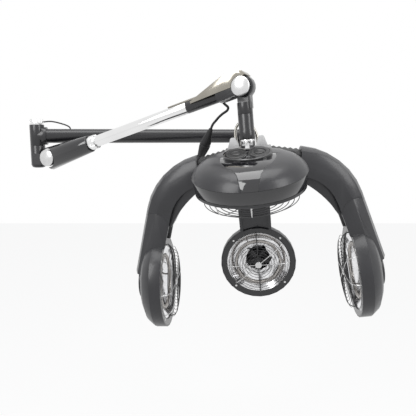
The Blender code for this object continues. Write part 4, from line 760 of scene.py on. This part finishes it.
@dataclass
class Studio:
    """Camera, lamps, pale floor and white surroundings.

    Attributes:
        camera_place: Where the camera stands.
        camera_pitch: How far it looks down, in degrees.
        sensor: Width of its sensor in millimetres.
        lens_share: Focal length as a share of the sensor's width.
        floor_height: Height of the floor.
        floor_size: Side of the floor.
        floor_middle: Place of the floor's middle, towards the camera.
        floor_paleness: Share of white in the floor as the eye sees it.
        world_light: Strength of the surroundings as a light.
    """

    camera_place: Point = (-0.115, -1.479, 0.0643)
    camera_pitch: float = 8.6
    sensor: float = 36.0
    lens_share: float = 463.0 / 416.0
    floor_height: float = -0.95
    floor_size: float = 9.0
    floor_middle: float = -0.5
    floor_paleness: float = 0.88
    world_light: float = 0.45

    def camera(self) -> None:
        """Set up the camera."""
        made = bpy.data.objects.new("camera", bpy.data.cameras.new("camera"))
        bpy.context.scene.collection.objects.link(made)
        made.location = self.camera_place
        made.rotation_euler = (math.radians(90 - self.camera_pitch), 0, 0)
        made.data.sensor_width = self.sensor
        made.data.lens = self.sensor * self.lens_share
        bpy.context.scene.camera = made

    @staticmethod
    def camera_rays(nodes: bpy.types.Nodes, links: bpy.types.NodeLinks) -> bpy.types.NodeSocket:
        """Tell rays that show the surroundings from rays that only light.

        Args:
            nodes: Nodes of the tree.
            links: Links of the tree.

        Returns:
            A socket that is 1 for camera, glossy and transmission rays.
        """
        rays = nodes.new("ShaderNodeLightPath")
        total = rays.outputs["Is Camera Ray"]
        for other in ("Is Glossy Ray", "Is Transmission Ray"):
            add = nodes.new("ShaderNodeMath")
            add.operation = "MAXIMUM"
            links.new(total, add.inputs[0])
            links.new(rays.outputs[other], add.inputs[1])
            total = add.outputs[0]
        return total

    def world(self) -> None:
        """Make the surroundings white to the eye and grey as a light."""
        world = bpy.data.worlds.new("studio")
        bpy.context.scene.world = world
        world.use_nodes = True
        nodes, links = world.node_tree.nodes, world.node_tree.links
        dim = nodes["Background"]
        dim.inputs["Color"].default_value = (0.9, 0.92, 0.95, 1)
        dim.inputs["Strength"].default_value = self.world_light
        bright = nodes.new("ShaderNodeBackground")
        bright.inputs["Color"].default_value = (1, 1, 1, 1)
        mix = nodes.new("ShaderNodeMixShader")
        links.new(self.camera_rays(nodes, links), mix.inputs["Fac"])
        links.new(dim.outputs["Background"], mix.inputs[1])
        links.new(bright.outputs["Background"], mix.inputs[2])
        links.new(mix.outputs["Shader"], nodes["World Output"].inputs["Surface"])

    def floor(self) -> None:
        """Lay a pale floor that keeps the object's shadow."""
        deselect()
        bpy.ops.mesh.primitive_plane_add(size=self.floor_size, location=(0, 0, 0))
        made = bpy.context.active_object
        made.name = "floor"
        made.data.transform(Matrix.Translation((0, self.floor_middle, self.floor_height)))
        material = bpy.data.materials.new("pale_floor")
        material.use_nodes = True
        nodes, links = material.node_tree.nodes, material.node_tree.links
        nodes["Principled BSDF"].inputs["Roughness"].default_value = 0.7
        noise = nodes.new("ShaderNodeTexNoise")
        noise.inputs["Scale"].default_value = 3.0
        ramp = nodes.new("ShaderNodeValToRGB")
        ramp.color_ramp.elements[0].color = (0.95, 0.95, 0.95, 1)
        ramp.color_ramp.elements[1].color = (1.0, 1.0, 1.0, 1)
        links.new(noise.outputs["Fac"], ramp.inputs["Fac"])
        links.new(ramp.outputs["Color"], nodes["Principled BSDF"].inputs["Base Color"])
        glow = nodes.new("ShaderNodeEmission")
        seen = nodes.new("ShaderNodeMath")
        seen.operation = "MULTIPLY"
        seen.inputs[1].default_value = self.floor_paleness
        links.new(self.camera_rays(nodes, links), seen.inputs[0])
        mix = nodes.new("ShaderNodeMixShader")
        links.new(seen.outputs[0], mix.inputs["Fac"])
        links.new(nodes["Principled BSDF"].outputs["BSDF"], mix.inputs[1])
        links.new(glow.outputs["Emission"], mix.inputs[2])
        links.new(mix.outputs["Shader"], nodes["Material Output"].inputs["Surface"])
        made.data.materials.append(material)

    def build(self) -> None:
        """Set up the whole studio."""
        self.camera()
        self.world()
        self.floor()
        for lamp in LAMPS:
            lamp.hang()
        bpy.context.scene.view_settings.view_transform = "Standard"


# ---------------------------------------------------------------- assembly

PLAIN_ROUNDING = 0.0003
CONNECTOR_ROUNDING = 0.0004
ROUNDINGS = {"satin_black": 0.0008, "black_gloss": 0.0008, "black_paint": 0.0006, "light_grey": 0.0005}


def main() -> None:
    """Build the whole object in order."""
    logging.basicConfig(level=logging.INFO)
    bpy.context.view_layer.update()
    Studio().build()
    Cable("elbow_cable", wall_arm_frame(), ELBOW_CABLE, ELBOW_CABLE_DIAMETER).build()
    connector = Casting("cable_connector", CONNECTOR_ROUNDING).build()
    Cable("hood_cable", stem_frame(), UPPER_CABLE, HOOD_CABLE_DIAMETER, "connector",
          (connector.name,)).build()
    Cable("hood_cable_tail", stem_frame(), LOWER_CABLE, HOOD_CABLE_DIAMETER).build()
    own = {"elbow_cable", "hood_cable", "hood_cable_tail", "cable_connector", "dome_guard",
           "left_head_guard", "right_head_guard", "rear_head_guard"}
    for node in sorted(frame["nodes"]):
        if node not in own:
            Casting(node, ROUNDINGS.get(slot_of(node), PLAIN_ROUNDING)).build()
    for side in ("left", "right", "rear"):
        Guard(f"{side}_head_guard", head_frame(side)).build()
    Guard("dome_guard", dome_frame(), outer=0.1236, inner=0.115, low=-0.0363, high=-0.0298,
          crown=-0.0705, rings=9, gauge=0.0009).build()


if __name__ == "__main__":
    main()
